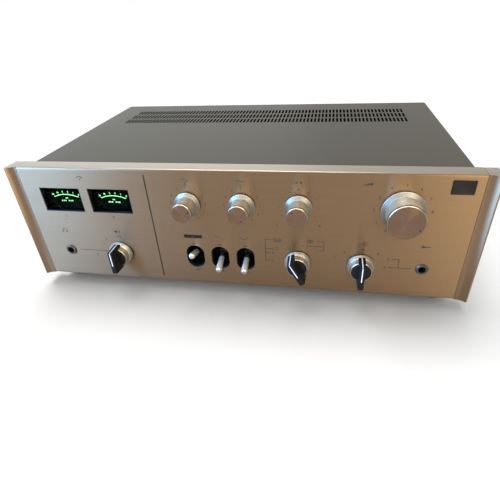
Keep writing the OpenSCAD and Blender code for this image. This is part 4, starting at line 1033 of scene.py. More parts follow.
class AMPLIFIER_OT_end_caps(Operator):
    """End caps: bars with a hollow face and a round outer edge, and a flange behind the plate"""

    bl_idname = "amplifier.end_caps"
    bl_label = "End caps"

    def execute(self, context):
        sizes = context.scene.amplifier_panel
        finishes = ("cap", "edge")
        for side, name in ((-1, "left_end_cap"), (1, "right_end_cap")):
            bm = bmesh.new()
            self.bar(bm, sizes)
            if side < 0:
                everything = bm.verts[:] + bm.edges[:] + bm.faces[:]
                bmesh.ops.mirror(bm, geom=everything, axis="X", merge_dist=0.0)
                wrong = [vert for vert in bm.verts if vert.co.x > 0]
                bmesh.ops.delete(bm, geom=wrong, context="VERTS")
                bmesh.ops.recalc_face_normals(bm, faces=bm.faces)
            # A cap's top and bottom ends take the lighter edge finish: a painted highlight.
            for face in bm.faces:
                face.material_index = finishes.index("edge" if abs(face.normal.z) > CAP_FACING else "cap")
            make_piece(name + "_bar", bm, finishes, "chassis", [name], sharp=28)
        return {"FINISHED"}

    def bar(self, bm, sizes):
        """The right end cap, drawn in plan and pushed up."""
        low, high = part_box("right_end_cap")
        inner = PANEL_HIGH.x + CAP_GAP
        rim = Vector((high.x - CAP_LIP, low.y))
        start = Vector((inner, FACE_Y))
        chord = rim - start
        reach = math.sqrt(sizes.cap_hollow ** 2 - (chord.length / 2) ** 2)
        centre = (start + rim) / 2 + reach * Vector((chord.y, -chord.x)) / chord.length
        sweep = 2 * math.asin(chord.length / 2 / sizes.cap_hollow)
        part = bmesh.new()
        first = part.verts.new((start.x, start.y, low.z))
        arc = bmesh.ops.spin(
            part, geom=[first], cent=(centre.x, centre.y, low.z), axis=(0, 0, -1), dvec=(0, 0, 0),
            angle=sweep, steps=10,
        )
        turn = bmesh.ops.spin(
            part, geom=[item for item in arc["geom_last"] if isinstance(item, bmesh.types.BMVert)],
            cent=(rim.x, rim.y + CAP_LIP, low.z), axis=(0, 0, 1), dvec=(0, 0, 0),
            angle=math.pi / 2, steps=6,
        )
        last = [item for item in turn["geom_last"] if isinstance(item, bmesh.types.BMVert)][0]
        back = part.verts.new((high.x, high.y, low.z))
        corner = part.verts.new((inner, high.y, low.z))
        for pair in ((last, back), (back, corner), (corner, first)):
            part.edges.new(pair)
        face = bmesh.ops.contextual_create(part, geom=part.edges[:])["faces"][0]
        made = bmesh.ops.extrude_face_region(part, geom=[face])
        bmesh.ops.translate(part, vec=(0, 0, high.z - low.z), verts=moved_verts(made))
        close_up(part)
        ends = [edge for edge in part.edges if abs(edge.verts[0].co.z - edge.verts[1].co.z) < NEAR]
        bevel_edges(part, ends, width=0.3 * MM)
        absorb(bm, part)
        back_y = FACE_Y + sizes.plate
        clear_of_lip = sizes.lip + CAP_GAP
        flange_low = (low.x, back_y, low.z + clear_of_lip)
        flange_high = (inner + CAP_OVERLAP, back_y + CAP_FLANGE, high.z - clear_of_lip)
        block(bm, flange_low, flange_high)


class AMPLIFIER_OT_badge(Operator):
    """Plaque: a bare bronze plate with a raised rim"""

    bl_idname = "amplifier.badge"
    bl_label = "Plaque"

    def execute(self, context):
        low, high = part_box("badge")
        bm = bmesh.new()
        part = bmesh.new()
        cube(part, low, high)
        corners = [edge for edge in part.edges if abs(edge.verts[0].co.y - edge.verts[1].co.y) > NEAR]
        bevel_edges(part, corners, width=0.5 * MM, segments=3)
        front = min(part.faces, key=lambda face: face.calc_center_median().y)
        bmesh.ops.inset_region(part, faces=[front], thickness=PLAQUE_RIM, depth=0.0)
        bmesh.ops.translate(part, vec=(0, PLAQUE_FIELD, 0), verts=front.verts)
        close_up(part)
        absorb(bm, part)
        make_piece("bare_plaque", bm, ["plaque"], "chassis", ["badge"])
        return {"FINISHED"}


class AMPLIFIER_OT_cover(Operator):
    """Cover: one folded sheet with three rows of vent slots"""

    bl_idname = "amplifier.cover"
    bl_label = "Cover"

    def execute(self, context):
        sizes = context.scene.amplifier_case
        low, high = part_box("top_cover")
        part = bmesh.new()
        flat_low = Vector((low.x + sizes.bend, low.y, high.z))
        flat_high = Vector((high.x - sizes.bend, high.y, high.z))
        points = [flat_low, (flat_high.x, low.y, high.z), flat_high, (flat_low.x, high.y, high.z)]
        verts = wire(part, points, closed=True)[0]
        part.faces.new(verts)
        self.cut_vents(part, sizes, high.y - sizes.vent_in)
        for side, edge_x in ((-1, flat_low.x), (1, flat_high.x)):
            self.fold(part, sizes, side, edge_x, low.z, high.z)
        close_up(part)
        if max(part.faces, key=lambda face: face.calc_center_median().z).normal.z < 0:
            bmesh.ops.reverse_faces(part, faces=part.faces)
        bmesh.ops.solidify(part, geom=part.faces[:], thickness=sizes.sheet)
        bm = bmesh.new()
        absorb(bm, part)
        inside = flat_high.x - sizes.bend
        finishes = ("cover", "slot")
        for face in bm.faces:
            middle = face.calc_center_median()
            in_field = abs(middle.x) < inside and low.y + MM < middle.y < high.y - MM
            # Slot walls in the vent field take the near-black slot finish: painted shade in the slots.
            if in_field and abs(face.normal.z) < SLOT_FACING:
                face.material_index = finishes.index("slot")
        make_piece("cover", bm, finishes, "chassis", ["top_cover"], sharp=35)
        return {"FINISHED"}

    def cut_vents(self, part, sizes, back):
        """Slices the flat sheet along the slots' edges and takes the slots out."""
        first = -(sizes.slots - 1) / 2 * sizes.slot_pitch
        half = sizes.slot_width / 2
        middles = [first + i * sizes.slot_pitch for i in range(sizes.slots)]
        ends = [back - i * sizes.row_pitch for i in range(sizes.rows)]
        cuts = [((x + side * half, 0, 0), (1, 0, 0)) for x in middles for side in (-1, 1)]
        cuts += [((0, y - d, 0), (0, 1, 0)) for y in ends for d in (0.0, sizes.slot_length)]
        for place, normal in cuts:
            everything = part.verts[:] + part.edges[:] + part.faces[:]
            bmesh.ops.bisect_plane(part, geom=everything, plane_co=place, plane_no=normal, dist=MERGE)
        gone = [face for face in part.faces if self.in_slot(face, sizes, middles, ends)]
        bmesh.ops.delete(part, geom=gone, context="FACES")

    def in_slot(self, face, sizes, middles, ends):
        """Whether a face lies in a slot."""
        spot = face.calc_center_median()
        across = min(abs(spot.x - x) for x in middles) < sizes.slot_width / 2
        return across and any(0 < y - spot.y < sizes.slot_length for y in ends)

    def fold(self, part, sizes, side, edge_x, low_z, high_z):
        """Bends one side of the sheet down."""
        edges = [
            edge for edge in part.edges
            if all(abs(vert.co.x - edge_x) < NEAR for vert in edge.verts)
        ]
        verts = unique(vert for edge in edges for vert in edge.verts)
        bent = bmesh.ops.spin(
            part, geom=verts + edges, cent=(edge_x, 0, high_z - sizes.bend), axis=(0, side, 0),
            dvec=(0, 0, 0), angle=math.pi / 2, steps=6,
        )
        last = [item for item in bent["geom_last"] if isinstance(item, bmesh.types.BMEdge)]
        made = bmesh.ops.extrude_edge_only(part, edges=last)
        drop = low_z - (high_z - sizes.bend)
        bmesh.ops.translate(part, vec=(0, 0, drop), verts=moved_verts(made))


# Shares of a case screw's head: the radius of its flat top, the height of its wall, the radius and height
# of its dome's shoulder, the reach and half width of its cross recess, and the recess's taper.
HEAD_FLAT = 0.62
HEAD_WALL = 0.45
SHOULDER_OUT = 0.86
SHOULDER_UP = 0.82
RECESS_REACH = 0.48
RECESS_HALF = 0.11
RECESS_TAPER = 0.8

# Steps round a case screw's head.
HEAD_STEPS = 24


class AMPLIFIER_OT_screws(Operator):
    """Case screws: domed heads with a cross recess, along the cover's sides and under the feet"""

    bl_idname = "amplifier.screws"
    bl_label = "Case screws"

    def execute(self, context):
        sizes = context.scene.amplifier_case
        low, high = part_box("top_cover")
        bm = bmesh.new()
        middle = (low.y + high.y) / 2
        for side in (-1, 1):
            for y in (low.y + sizes.screw_in, middle, high.y - sizes.screw_in):
                place = Matrix.Translation((side * high.x, y, low.z + sizes.screw_z))
                self.screw(bm, sizes, place @ Matrix.Rotation(side * math.pi / 2, 4, "Y"))
        for x, y in foot_places(sizes):
            place = Matrix.Translation((x, y, PANEL_LOW.z - FOOT_WEB))
            self.screw(bm, sizes, place @ Matrix.Rotation(math.pi, 4, "X"))
        make_piece("cover_screws", bm, ["screw"], "chassis", ["case_screws"])
        return {"FINISHED"}

    def screw(self, bm, sizes, place):
        """A screw whose head sits on the frame's origin."""
        head = sizes.screw_head
        flat = head * HEAD_FLAT
        top = HEAD_HEIGHT
        wall = top * HEAD_WALL
        turned(bm, [
            (0.0, -SCREW_LENGTH), (SCREW_SHANK, -SCREW_LENGTH), (SCREW_SHANK, 0.0),
            (head, 0.0), (head, wall), (head * SHOULDER_OUT, top * SHOULDER_UP), (flat, top),
        ], place, steps=HEAD_STEPS)
        part = bmesh.new()
        rim = round_loop(part, flat, 0, 0, top, steps=HEAD_STEPS)
        arm = head * RECESS_REACH
        half = head * RECESS_HALF
        corner = [(half, arm), (half, half), (arm, half), (arm, -half), (half, -half), (half, -arm)]
        points = corner + [(-x, -y) for x, y in corner]
        loops = [
            wire(part, [(x * grow, y * grow, z) for x, y in points], closed=True)[1]
            for grow, z in ((1.0, top), (RECESS_TAPER, wall))
        ]
        bmesh.ops.bridge_loops(part, edges=loops[0] + loops[1])
        bmesh.ops.contextual_create(part, geom=loops[1])
        flat_edges = rim + loops[0]
        bmesh.ops.triangle_fill(
            part, use_beauty=True, use_dissolve=False, edges=flat_edges, normal=(0, 0, 1),
        )
        bmesh.ops.recalc_face_normals(part, faces=part.faces)
        absorb(bm, part, place @ Matrix.Rotation(math.pi / HEAD_STEPS, 4, "Z"))
        bmesh.ops.remove_doubles(bm, verts=bm.verts, dist=MERGE)


def foot_places(sizes):
    """The places of the four feet."""
    reach = PANEL_HIGH.x - sizes.foot_in
    return [(x, FACE_Y + y) for x in (-reach, reach) for y in (sizes.foot_front, sizes.foot_back)]


class AMPLIFIER_OT_feet(Operator):
    """Feet: round rubber feet with a recess for the screw"""

    bl_idname = "amplifier.feet"
    bl_label = "Feet"

    def execute(self, context):
        sizes = context.scene.amplifier_case
        bm = bmesh.new()
        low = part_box("feet")[0].z
        tall = PANEL_LOW.z - low
        bore = SCREW_SHANK + FOOT_ROOM
        slim = sizes.foot - FOOT_TAPER
        profile = [
            (bore, tall), (sizes.foot, tall), (slim, FOOT_EDGE), (slim - FOOT_EDGE, 0.0),
            (FOOT_RECESS, 0.0), (FOOT_RECESS, tall - FOOT_WEB), (bore, tall - FOOT_WEB),
        ]
        for x, y in foot_places(sizes):
            place = Matrix.Translation((x, y, low))
            turned(bm, profile, place, steps=48, rounding=0.5 * MM, closed=True)
        make_piece("rubber_feet", bm, ["rubber"], "chassis", ["feet"], sharp=40)
        return {"FINISHED"}


# How far below its front a turned knob still has the finish of its face.
FACE_SKIN = 0.01 * MM


class AMPLIFIER_OT_turned_knobs(Operator):
    """Turned knobs: a flange at the panel, a waist behind a bright rim, a spun face and its index dot"""

    bl_idname = "amplifier.turned_knobs"
    bl_label = "Turned knobs"

    def execute(self, context):
        sizes = context.scene.amplifier_knobs
        for name in TURNED_KNOBS:
            large = name == "volume"
            face = sizes.volume_face if large else sizes.tone_face
            dot = face - (sizes.volume_dot if large else sizes.tone_dot)
            self.knob(sizes, name, face, dot, getattr(sizes, name + "_turn"))
        return {"FINISHED"}

    def knob(self, sizes, name, face, dot, turn):
        """One knob, sized from its CAD node."""
        low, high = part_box(name + "_knob")
        flange = (high.x - low.x) / 2
        out = FACE_Y - low.y
        gap = FACE_Y - high.y
        top = gap + KNOB_FLANGE
        rim = out - KNOB_RIM
        body = face - KNOB_WAIST
        bore_end = out - FACE_WALL
        front = out - PAINT
        place = control_frame(name + "_turn", turn)
        profile = [
            (KNOB_BORE, gap), (flange, gap), (flange, top), (body, top + KNOB_SLOPE),
            (body, rim - KNOB_WAIST), (face, rim), (face, front - KNOB_BEVEL),
            (face - KNOB_BEVEL, front), (0.0, front), (0.0, bore_end), (KNOB_BORE, bore_end),
        ]
        finishes = ("knob", "knob_face", "black", "knob_rim", "knob_slope")
        bm = bmesh.new()

        def paint(radius, height):
            if height > front - FACE_SKIN:
                return finishes.index("knob_face")
            if height > front - KNOB_BEVEL:
                return finishes.index("knob_rim")
            # The flange's slope and the band behind the rim take the darker slope finish: painted shade.
            on_shaded_slope = top < height < top + KNOB_SLOPE and radius < flange - KNOB_EDGE
            return finishes.index("knob_slope" if on_shaded_slope or height > rim else "knob")

        turned(bm, profile, place, steps=96, rounding=0.12 * MM, closed=True, paint=paint)
        turned(bm, [
            (0.0, front - KNOB_BEVEL), (sizes.dot, front - KNOB_BEVEL), (sizes.dot, out), (0.0, out),
        ], place @ Matrix.Translation((0, dot, 0)), steps=24, material=finishes.index("black"))
        axis = JOINTS[name + "_turn"]
        rim_lit(make_piece(
            name + "_turned_knob", bm, finishes, name, [name + "_knob"], rings=axis,
        ))


# Edges of a pointer bar that turn by more than this angle, in radians, are rounded.
BAR_CORNER = 0.6


class AMPLIFIER_OT_pointer_knobs(Operator):
    """Pointer knobs: a stepped aluminium skirt, and a black hub and bar with a white line"""

    bl_idname = "amplifier.pointer_knobs"
    bl_label = "Pointer knobs"

    def execute(self, context):
        sizes = context.scene.amplifier_knobs
        for name in POINTER_KNOBS:
            place = control_frame(name + "_turn", getattr(sizes, name + "_turn"))
            self.skirt(sizes, name, place)
            self.pointer(sizes, name, place)
        return {"FINISHED"}

    def skirt(self, sizes, name, place):
        """The aluminium skirt, two cones with a groove between them."""
        step = sizes.skirt_step
        step_out = sizes.skirt_step_out
        out = sizes.skirt_out
        groove = GROOVE
        floor = out - HUB_DEPTH
        finishes = ("skirt", "knob_rim")
        bm = bmesh.new()

        def paint(radius, height):
            on_rim = height > out - groove and radius > sizes.hub
            return finishes.index("knob_rim" if on_rim else "skirt")

        turned(bm, [
            (KNOB_BORE, KNOB_GAP), (sizes.skirt, KNOB_GAP), (sizes.skirt, KNOB_GAP + SKIRT_BASE),
            (step, step_out - groove), (step - groove, step_out - groove), (step - groove, step_out),
            (sizes.skirt_rim, out - groove), (sizes.skirt_rim - groove, out),
            (sizes.hub, out), (sizes.hub, floor), (KNOB_BORE, floor),
        ], place, steps=96, rounding=0.1 * MM, closed=True, paint=paint)
        axis = JOINTS[name + "_turn"]
        rim_lit(make_piece(
            name + "_knob_skirt", bm, finishes, name, [name + "_skirt"], rings=axis,
        ))

    def pointer(self, sizes, name, place):
        """The black hub and bar with the white line along the bar's ridge."""
        finishes = ("black", "hub", "white")
        bm = bmesh.new()
        out = sizes.skirt_out
        floor = out - HUB_DEPTH
        hub_top = out - HUB_DROP
        turned(bm, [
            (0.0, floor), (sizes.hub, floor), (sizes.hub, hub_top), (0.0, hub_top),
        ], place, steps=72, rounding=0.2 * MM, material=finishes.index("hub"))
        part = bmesh.new()
        top = sizes.bar_out - PAINT
        side = sizes.bar_width / 2
        end = sizes.bar_length / 2
        cube(part, (-side, -end, out), (side, end, top))
        ridge = [vert for vert in part.verts if vert.co.z > (out + top) / 2]
        bmesh.ops.scale(part, vec=(sizes.bar_ridge / sizes.bar_width, 1, 1), verts=ridge)
        base = min(part.faces, key=lambda face: face.calc_center_median().z)
        made = bmesh.ops.extrude_face_region(part, geom=[base])
        bmesh.ops.translate(part, vec=(0, 0, sizes.bar_base - out), verts=moved_verts(made))
        if base.is_valid:
            bmesh.ops.delete(part, geom=[base], context="FACES_ONLY")
        close_up(part)
        sharp = [edge for edge in part.edges if edge.calc_face_angle(0.0) > BAR_CORNER]
        bevel_edges(part, sharp, width=0.45 * MM, segments=3)
        absorb(bm, part, place)
        half = sizes.line / 2
        low = (-half, -LINE_BACK, top - LINE_SINK)
        high = (half, end - LINE_STOP, sizes.bar_out)
        block(bm, low, high, place, material=finishes.index("white"))
        low = (-half, end - LINE_SINK, sizes.bar_base + LINE_FOOT)
        high = (half, end + PAINT, top - LINE_STOP)
        block(bm, low, high, place, material=finishes.index("white"))
        make_piece(name + "_knob_bar", bm, finishes, name, [name + "_pointer"])


# Shares of a lever tip's radius: the height of its rounded shoulder, and the radius of its flat end.
TIP_SHOULDER = 0.35
TIP_FLAT = 0.7


class AMPLIFIER_OT_levers(Operator):
    """Lever switches: satin levers, their roots painted dark as shade, which widen towards a rounded tip, on
    a hub
    """

    bl_idname = "amplifier.levers"
    bl_label = "Levers"

    def execute(self, context):
        sizes = context.scene.amplifier_knobs
        for name in LEVERS:
            self.lever(sizes, name, getattr(sizes, name + "_tilt"))
        return {"FINISHED"}

    def lever(self, sizes, name, tilt):
        """One lever, tilted about its pivot."""
        pivot = Matrix.Translation(JOINTS[name + "_tip"])
        along = pivot @ Matrix.Rotation(math.pi / 2 - tilt, 4, "X")
        across = pivot @ Matrix.Rotation(math.pi / 2, 4, "Y")
        tip = sizes.lever_tip
        root = sizes.lever_root
        tail = LEVER_TAIL
        end = sizes.lever_length
        shoulder = end - tip * TIP_SHOULDER
        cone = end - tip - LEVER_HUB
        # The radius where the painted shade on the root ends.
        sleeve = root + (tip - root) * (sizes.lever_sleeve - LEVER_HUB) / cone
        finishes = ("lever", "hub", "lever_end")
        bm = bmesh.new()

        def paint(_, height):
            # The end face takes the darker lever_end finish: painted shade.
            if height > shoulder:
                return finishes.index("lever_end")
            # The root takes the black hub finish: painted shade of the recess.
            return finishes.index("hub" if height < sizes.lever_sleeve else "lever")

        turned(bm, [
            (0.0, -tail), (root, -tail), (root, LEVER_HUB), (sleeve, sizes.lever_sleeve),
            (tip, end - tip), (tip, shoulder), (tip * TIP_FLAT, end), (0.0, end),
        ], along, steps=48, rounding=0.5 * MM, paint=paint)
        half = LEVER_HUB_WIDTH / 2
        bore = LEVER_BORE
        turned(bm, [
            (bore, -half), (LEVER_HUB, -half), (LEVER_HUB, half), (bore, half),
        ], across, steps=36, rounding=0.2 * MM, closed=True, material=finishes.index("hub"))
        rim_lit(make_piece(name + "_satin_lever", bm, finishes, name, [name + "_lever"], sharp=35))


# Height of a ring nut's straight wall as a share of its height.
NUT_WALL = 0.5


class AMPLIFIER_OT_jack_nuts(Operator):
    """Ring nuts round the two jacks"""

    bl_idname = "amplifier.jack_nuts"
    bl_label = "Jack nuts"

    def execute(self, context):
        sizes = context.scene.amplifier_knobs
        bm = bmesh.new()
        for name in JACKS:
            middle = middle_of(name)
            place = face_frame(Vector((middle.x, FACE_Y, middle.z)))
            turned(bm, [
                (NUT_BORE, 0.0), (sizes.nut, 0.0), (sizes.nut, sizes.nut_height * NUT_WALL),
                (sizes.nut - NUT_CHAMFER, sizes.nut_height), (NUT_BORE, sizes.nut_height),
            ], place, steps=60, rounding=0.15 * MM, closed=True)
        make_piece("ring_nuts", bm, ["nickel"], "chassis", ["jack_nuts"], sharp=40)
        return {"FINISHED"}


# The numbers along a meter's arc, and the places of the dashes under it.
METER_NUMBERS = ("20", "10", "5", "3", "1", "0")
METER_DASHES = (-3, -2, -1, 1, 2, 3)


class AMPLIFIER_OT_meter_prints(Operator):
    """Meters: a lit arc, its ticks and plain numbers on the dark scales"""

    bl_idname = "amplifier.meter_prints"
    bl_label = "Meter prints"

    def execute(self, context):
        sizes = context.scene.amplifier_print
        scale_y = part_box("meter_scales")[0].y
        finishes = ("glow", "numbers")
        glow = finishes.index("glow")
        pale = finishes.index("numbers")
        bm = bmesh.new()
        for name in CHANNELS:
            pivot = JOINTS[name + "_needle_swing"]
            place = face_frame(Vector((pivot.x, scale_y, pivot.z)))
            self.arc(bm, sizes, place, glow, pale)
            self.dashes(bm, place, glow, pale)
        make_piece("meter_print", bm, finishes, "chassis", ())
        return {"FINISHED"}

    def arc(self, bm, sizes, place, glow, pale):
        """The lit arc, with a tick and a number at each of its marks."""
        span = sizes.arc_span
        half = TICK_WIDTH / 2
        inner = sizes.arc - ARC_WIDTH
        tick_end = sizes.arc + TICK
        arc_strip(bm, inner, sizes.arc, -span, 2 * span, INK, place, steps=40, material=glow)
        for i, number in enumerate(METER_NUMBERS):
            turn = -span + 2 * span * i / (len(METER_NUMBERS) - 1)
            swing = place @ Matrix.Rotation(-turn, 4, "Z")
            block(bm, (-half, sizes.arc, 0), (half, tick_end, INK), swing, material=glow)
            spot = swing @ Matrix.Translation((0, sizes.arc + NUMBER_OUT, 0))
            lettering(bm, number, sizes.meter_numeral, INK, face_frame(spot.translation), pale)

    def dashes(self, bm, place, glow, pale):
        """A row of fine dashes under the arc, with a small block above its middle."""
        row = DASH_ROW
        half = DASH / 2
        tall = DASH_HEIGHT / 2
        for i in METER_DASHES:
            middle = i * DASH_PITCH
            low = (middle - half, row - tall, 0)
            block(bm, low, (middle + half, row + tall, INK), place, material=pale)
        half = MARK_WIDTH / 2
        low = (-half, row + MARK_UP, 0)
        block(bm, low, (half, low[1] + MARK_HEIGHT, INK), place, material=glow)


# Marks on each side of the top of a dial.
DIAL_HALF = 5


class AMPLIFIER_OT_dial_prints(Operator):
    """Dials: plain numbers and dots printed round the turned knobs"""

    bl_idname = "amplifier.dial_prints"
    bl_label = "Dial prints"

    def execute(self, context):
        sizes = context.scene.amplifier_print
        steps = range(-DIAL_HALF, DIAL_HALF + 1)
        bm = bmesh.new()
        for step in steps:
            spot = self.round_dial("volume_turn", sizes.volume_dial, step * DIAL_STEP)
            lettering(bm, str(step + DIAL_HALF), sizes.numeral, INK, spot)
        for name in ("bass_turn", "treble_turn"):
            for step in steps:
                spot = self.round_dial(name, sizes.tone_dial, step * DIAL_STEP)
                if step:
                    lettering(bm, str(abs(step)), sizes.small_numeral, INK, spot)
                else:
                    self.dot(bm, spot, ZERO_DOT)
        for step in steps:
            spot = self.round_dial("balance_turn", sizes.tone_dial, step * DIAL_STEP)
            self.dot(bm, spot, BALANCE_DOT if step else MIDDLE_DOT)
        for letter, turn in (("L", -sizes.side_angle), ("R", sizes.side_angle)):
            spot = self.round_dial("balance_turn", sizes.side_dial, turn)
            lettering(bm, letter, sizes.numeral, INK, spot)
        make_piece("dial_print", bm, ["ink"], "chassis", ())
        return {"FINISHED"}

    def round_dial(self, joint, radius, turn):
        """An upright frame on the face, at an angle clockwise from the top of a control."""
        place = JOINTS[joint]
        return face_frame(Vector((
            place.x + radius * math.sin(turn), FACE_Y, place.z + radius * math.cos(turn),
        )))

    def dot(self, bm, spot, radius):
        """A printed dot."""
        turned(bm, [(0.0, 0.0), (radius, 0.0), (radius, INK), (0.0, INK)], spot, steps=16)


# The panel's print. Places are in millimetres from the panel's middle and from its lower edge.
PRINTED_LINES = {
    "tape bracket": ((34.7, 52.5), (29.2, 52.5), (29.2, 30.4), (32.9, 30.4)),
    "tape upper tick": ((29.2, 43.3), (36.6, 43.3)),
    "tape lower tick": ((29.2, 38.7), (33.6, 38.7)),
    "mode bracket": ((74.8, 52.6), (80.4, 52.6), (80.4, 43.6), (77.2, 43.6)),
    "mode tick": ((65.4, 47.8), (80.4, 47.8)),
    "source bracket": ((138.2, 38.9), (143.8, 38.9), (143.8, 30.1)),
    "source lead": ((136.1, 30.1), (154.3, 30.1)),
    "speaker lead": ((-157.9, 30.9), (-127.1, 30.9)),
}
PRINTED_MARKS = {
    "speaker off": ("0", -139.5, 26.6),
    "speaker first pair": ("1", -129.0, 39.6),
    "speaker second pair": ("2", -125.2, 44.5),
    "speaker both pairs": ("1+2", -111.2, 48.0),
    "tape both": ("2", 39.4, 43.3),
    "tape right": ("R", 36.3, 38.7),
    "tape left": ("L", 35.6, 30.4),
    "mode two channels": ("2", 62.4, 47.8),
    "mode one channel": ("1", 74.4, 43.6),
    "source 1": ("1", 91.0, 38.5),
    "source 2": ("2", 98.2, 43.4),
    "source 3": ("3", 113.2, 47.3),
    "source 4": ("4", 126.0, 43.3),
    "source 5": ("5", 134.9, 38.9),
    "source 6": ("6", 132.9, 30.1),
    "left meter": ("L", -158.8, 68.7),
    "right meter": ("R", -110.8, 68.9),
    "bass middle": ("0", -37.2, 103.3),
    "treble middle": ("0", 10.5, 103.3),
}
PRINTED_SIGNS = {
    "headphones": (-166.9, 52.4),
    "loudspeaker": (-112.0, 53.2),
    "level": (-134.3, 106.8),
    "reels": (40.2, 52.5),
    "rings": (68.6, 52.6),
    "inlet": (113.0, 52.4),
    "plug": (162.9, 52.4),
}
PRINT_FINISHES = ("ink", "needle", "panel")


class AMPLIFIER_OT_panel_prints(Operator):
    """Panel print: brackets and lines, plain signs and numbers, and ON and OFF at the levers"""

    bl_idname = "amplifier.panel_prints"
    bl_label = "Panel print"

    def execute(self, context):
        sizes = context.scene.amplifier_print
        bm = bmesh.new()
        larger = Matrix.Scale(sizes.sign_scale, 4)
        for points in PRINTED_LINES.values():
            self.trace(bm, points, panel_frame(), width=sizes.line)
        for mark, x, y in PRINTED_MARKS.values():
            lettering(bm, mark, sizes.numeral, INK, self.spot(x * MM, y * MM))
        for name, (x, y) in PRINTED_SIGNS.items():
            getattr(self, name)(bm, self.spot(x * MM, y * MM) @ larger)
        self.lever_marks(bm, sizes)
        self.dial_signs(bm, sizes)
        make_piece("panel_print", bm, PRINT_FINISHES, "chassis", ())
        return {"FINISHED"}

    def spot(self, x, y):
        """A frame at a place on the panel's face."""
        return panel_frame() @ Matrix.Translation((x, y, 0.0))

    def trace(self, bm, points, place, material=0, width=SIGN_LINE):
        """A printed line through points in millimetres, with mitred corners and square ends."""
        half = width / 2
        points = [Vector(point) * MM for point in points]
        runs = [(last - first).normalized() for first, last in zip(points, points[1:])]
        points[0] = points[0] - runs[0] * half
        points[-1] = points[-1] + runs[-1] * half
        left = []
        right = []
        for point, run, onward in zip(points, runs[:1] + runs, runs + runs[-1:]):
            mitre = (run + onward).normalized()
            aside = Vector((-mitre.y, mitre.x)) * half / mitre.dot(run)
            left.append(point + aside)
            right.append(point - aside)
        extruded(bm, right + left[::-1], INK, place, material=material)

    def ring(self, bm, radius, place, start=0.0, sweep=360.0, material=0, width=SIGN_LINE):
        """A printed ring or arc of a radius in millimetres, clockwise from an angle in degrees."""
        outer = radius * MM + width / 2
        angles = (math.radians(start), math.radians(sweep))
        arc_strip(bm, outer - width, outer, *angles, INK, place, steps=24, material=material)

    def area(self, bm, outline, place, material=0):
        """A printed area inside an outline in millimetres."""
        extruded(bm, [(x * MM, y * MM) for x, y in outline], INK, place, material=material)

    def lever_marks(self, bm, sizes):
        """ON and OFF at each lever, and a sign above it."""
        for name in LEVERS:
            x = JOINTS[name + "_tip"].x
            lettering(bm, "ON", sizes.small_numeral, INK, self.spot(x, sizes.switch_on))
            lettering(bm, "OFF", sizes.small_numeral, INK, self.spot(x, sizes.switch_off))
            getattr(self, name + "_sign")(bm, self.spot(x, sizes.title))

    def power_sign(self, bm, place):
        """A broken ring and a bar, light on a dark field."""
        reach = Vector((FIELD_WIDTH / 2, FIELD_HEIGHT / 2, 0.0))
        light = PRINT_FINISHES.index("panel")
        block(bm, -reach, reach + Vector((0, 0, INK)), place, material=PRINT_FINISHES.index("needle"))
        raised = place @ Matrix.Translation((0, 0, INK))
        fine = SIGN_LINE / 2
        self.ring(bm, 0.9, raised, 40, 280, material=light, width=fine)
        self.trace(bm, ((0, 0.2), (0, 1.1)), raised, material=light, width=fine)

    def filter_sign(self, bm, place):
        """A level line that falls away."""
        self.trace(bm, ((-3.2, 0.9), (0.6, 0.9), (3.2, -1.1)), place)

    def loudness_sign(self, bm, place):
        """A line raised at both ends."""
        self.trace(bm, ((-3.2, 1.1), (-1.3, -0.8), (1.3, -0.8), (3.2, 1.1)), place)

    def dial_signs(self, bm, sizes):
        """A long wave, short waves, two arrowheads and a wedge above the turned knobs."""
        self.waves(bm, self.spot(JOINTS["bass_turn"].x, sizes.dial_title), count=2, reach=1.5)
        self.waves(bm, self.spot(JOINTS["treble_turn"].x, sizes.dial_title), count=6, reach=0.6)
        place = self.spot(JOINTS["balance_turn"].x, sizes.dial_title)
        for side in (-1, 1):
            arrow = ((side * 1.0, 1.1), (side * 1.0, -1.1), (side * 3.4, 0.0))
            self.area(bm, arrow, place)
        place = self.spot(JOINTS["volume_turn"].x - WEDGE_IN, sizes.dial_title)
        self.area(bm, ((-4.0, -1.1), (4.0, -1.1), (4.0, 1.3)), place)

    def waves(self, bm, place, count, reach):
        """A line that swings over and under a level in turn, each swing twice as long as it is high."""
        steps = 12
        points = [
            (reach * (2 * i / steps - count), reach * math.sin(math.pi * i / steps))
            for i in range(steps * count + 1)
        ]
        self.trace(bm, points, place)

    def headphones(self, bm, place):
        """A band over two pads."""
        self.ring(bm, 1.5, place, -90, 180)
        for side in (-1, 1):
            left = side * 1.5 - 0.5
            right = side * 1.5 + 0.5
            self.area(bm, ((left, 0.1), (right, 0.1), (right, -1.5), (left, -1.5)), place)

    def loudspeaker(self, bm, place):
        """A horn with two waves in front of it."""
        horn = ((-2.2, 0.6), (-1.2, 0.6), (0.0, 1.6), (0.0, -1.6), (-1.2, -0.6), (-2.2, -0.6))
        self.area(bm, horn, place)
        for radius in (1.1, 2.1):
            self.ring(bm, radius, place, 50, 80)

    def level(self, bm, place):
        """A scale with a needle."""
        self.ring(bm, 3.2, place @ Matrix.Translation((0, -2.0 * MM, 0)), -48, 96)
        self.trace(bm, ((0, -1.4), (1.1, 0.8)), place)

    def reels(self, bm, place):
        """Two rings joined by a line."""
        for side in (-1, 1):
            self.ring(bm, 1.0, place @ Matrix.Translation((side * 1.7 * MM, 0.2 * MM, 0)))
        self.trace(bm, ((-1.7, -0.9), (1.7, -0.9)), place)

    def rings(self, bm, place):
        """Two rings that overlap."""
        for side in (-1, 1):
            self.ring(bm, 1.1, place @ Matrix.Translation((side * 0.7 * MM, 0, 0)))

    def inlet(self, bm, place):
        """An arrow that runs into a ring."""
        self.ring(bm, 1.4, place @ Matrix.Translation((1.0 * MM, 0, 0)), -55, 290)
        self.trace(bm, ((-3.0, 0), (0.6, 0)), place)
        self.area(bm, ((0.3, 0.7), (1.3, 0.0), (0.3, -0.7)), place)

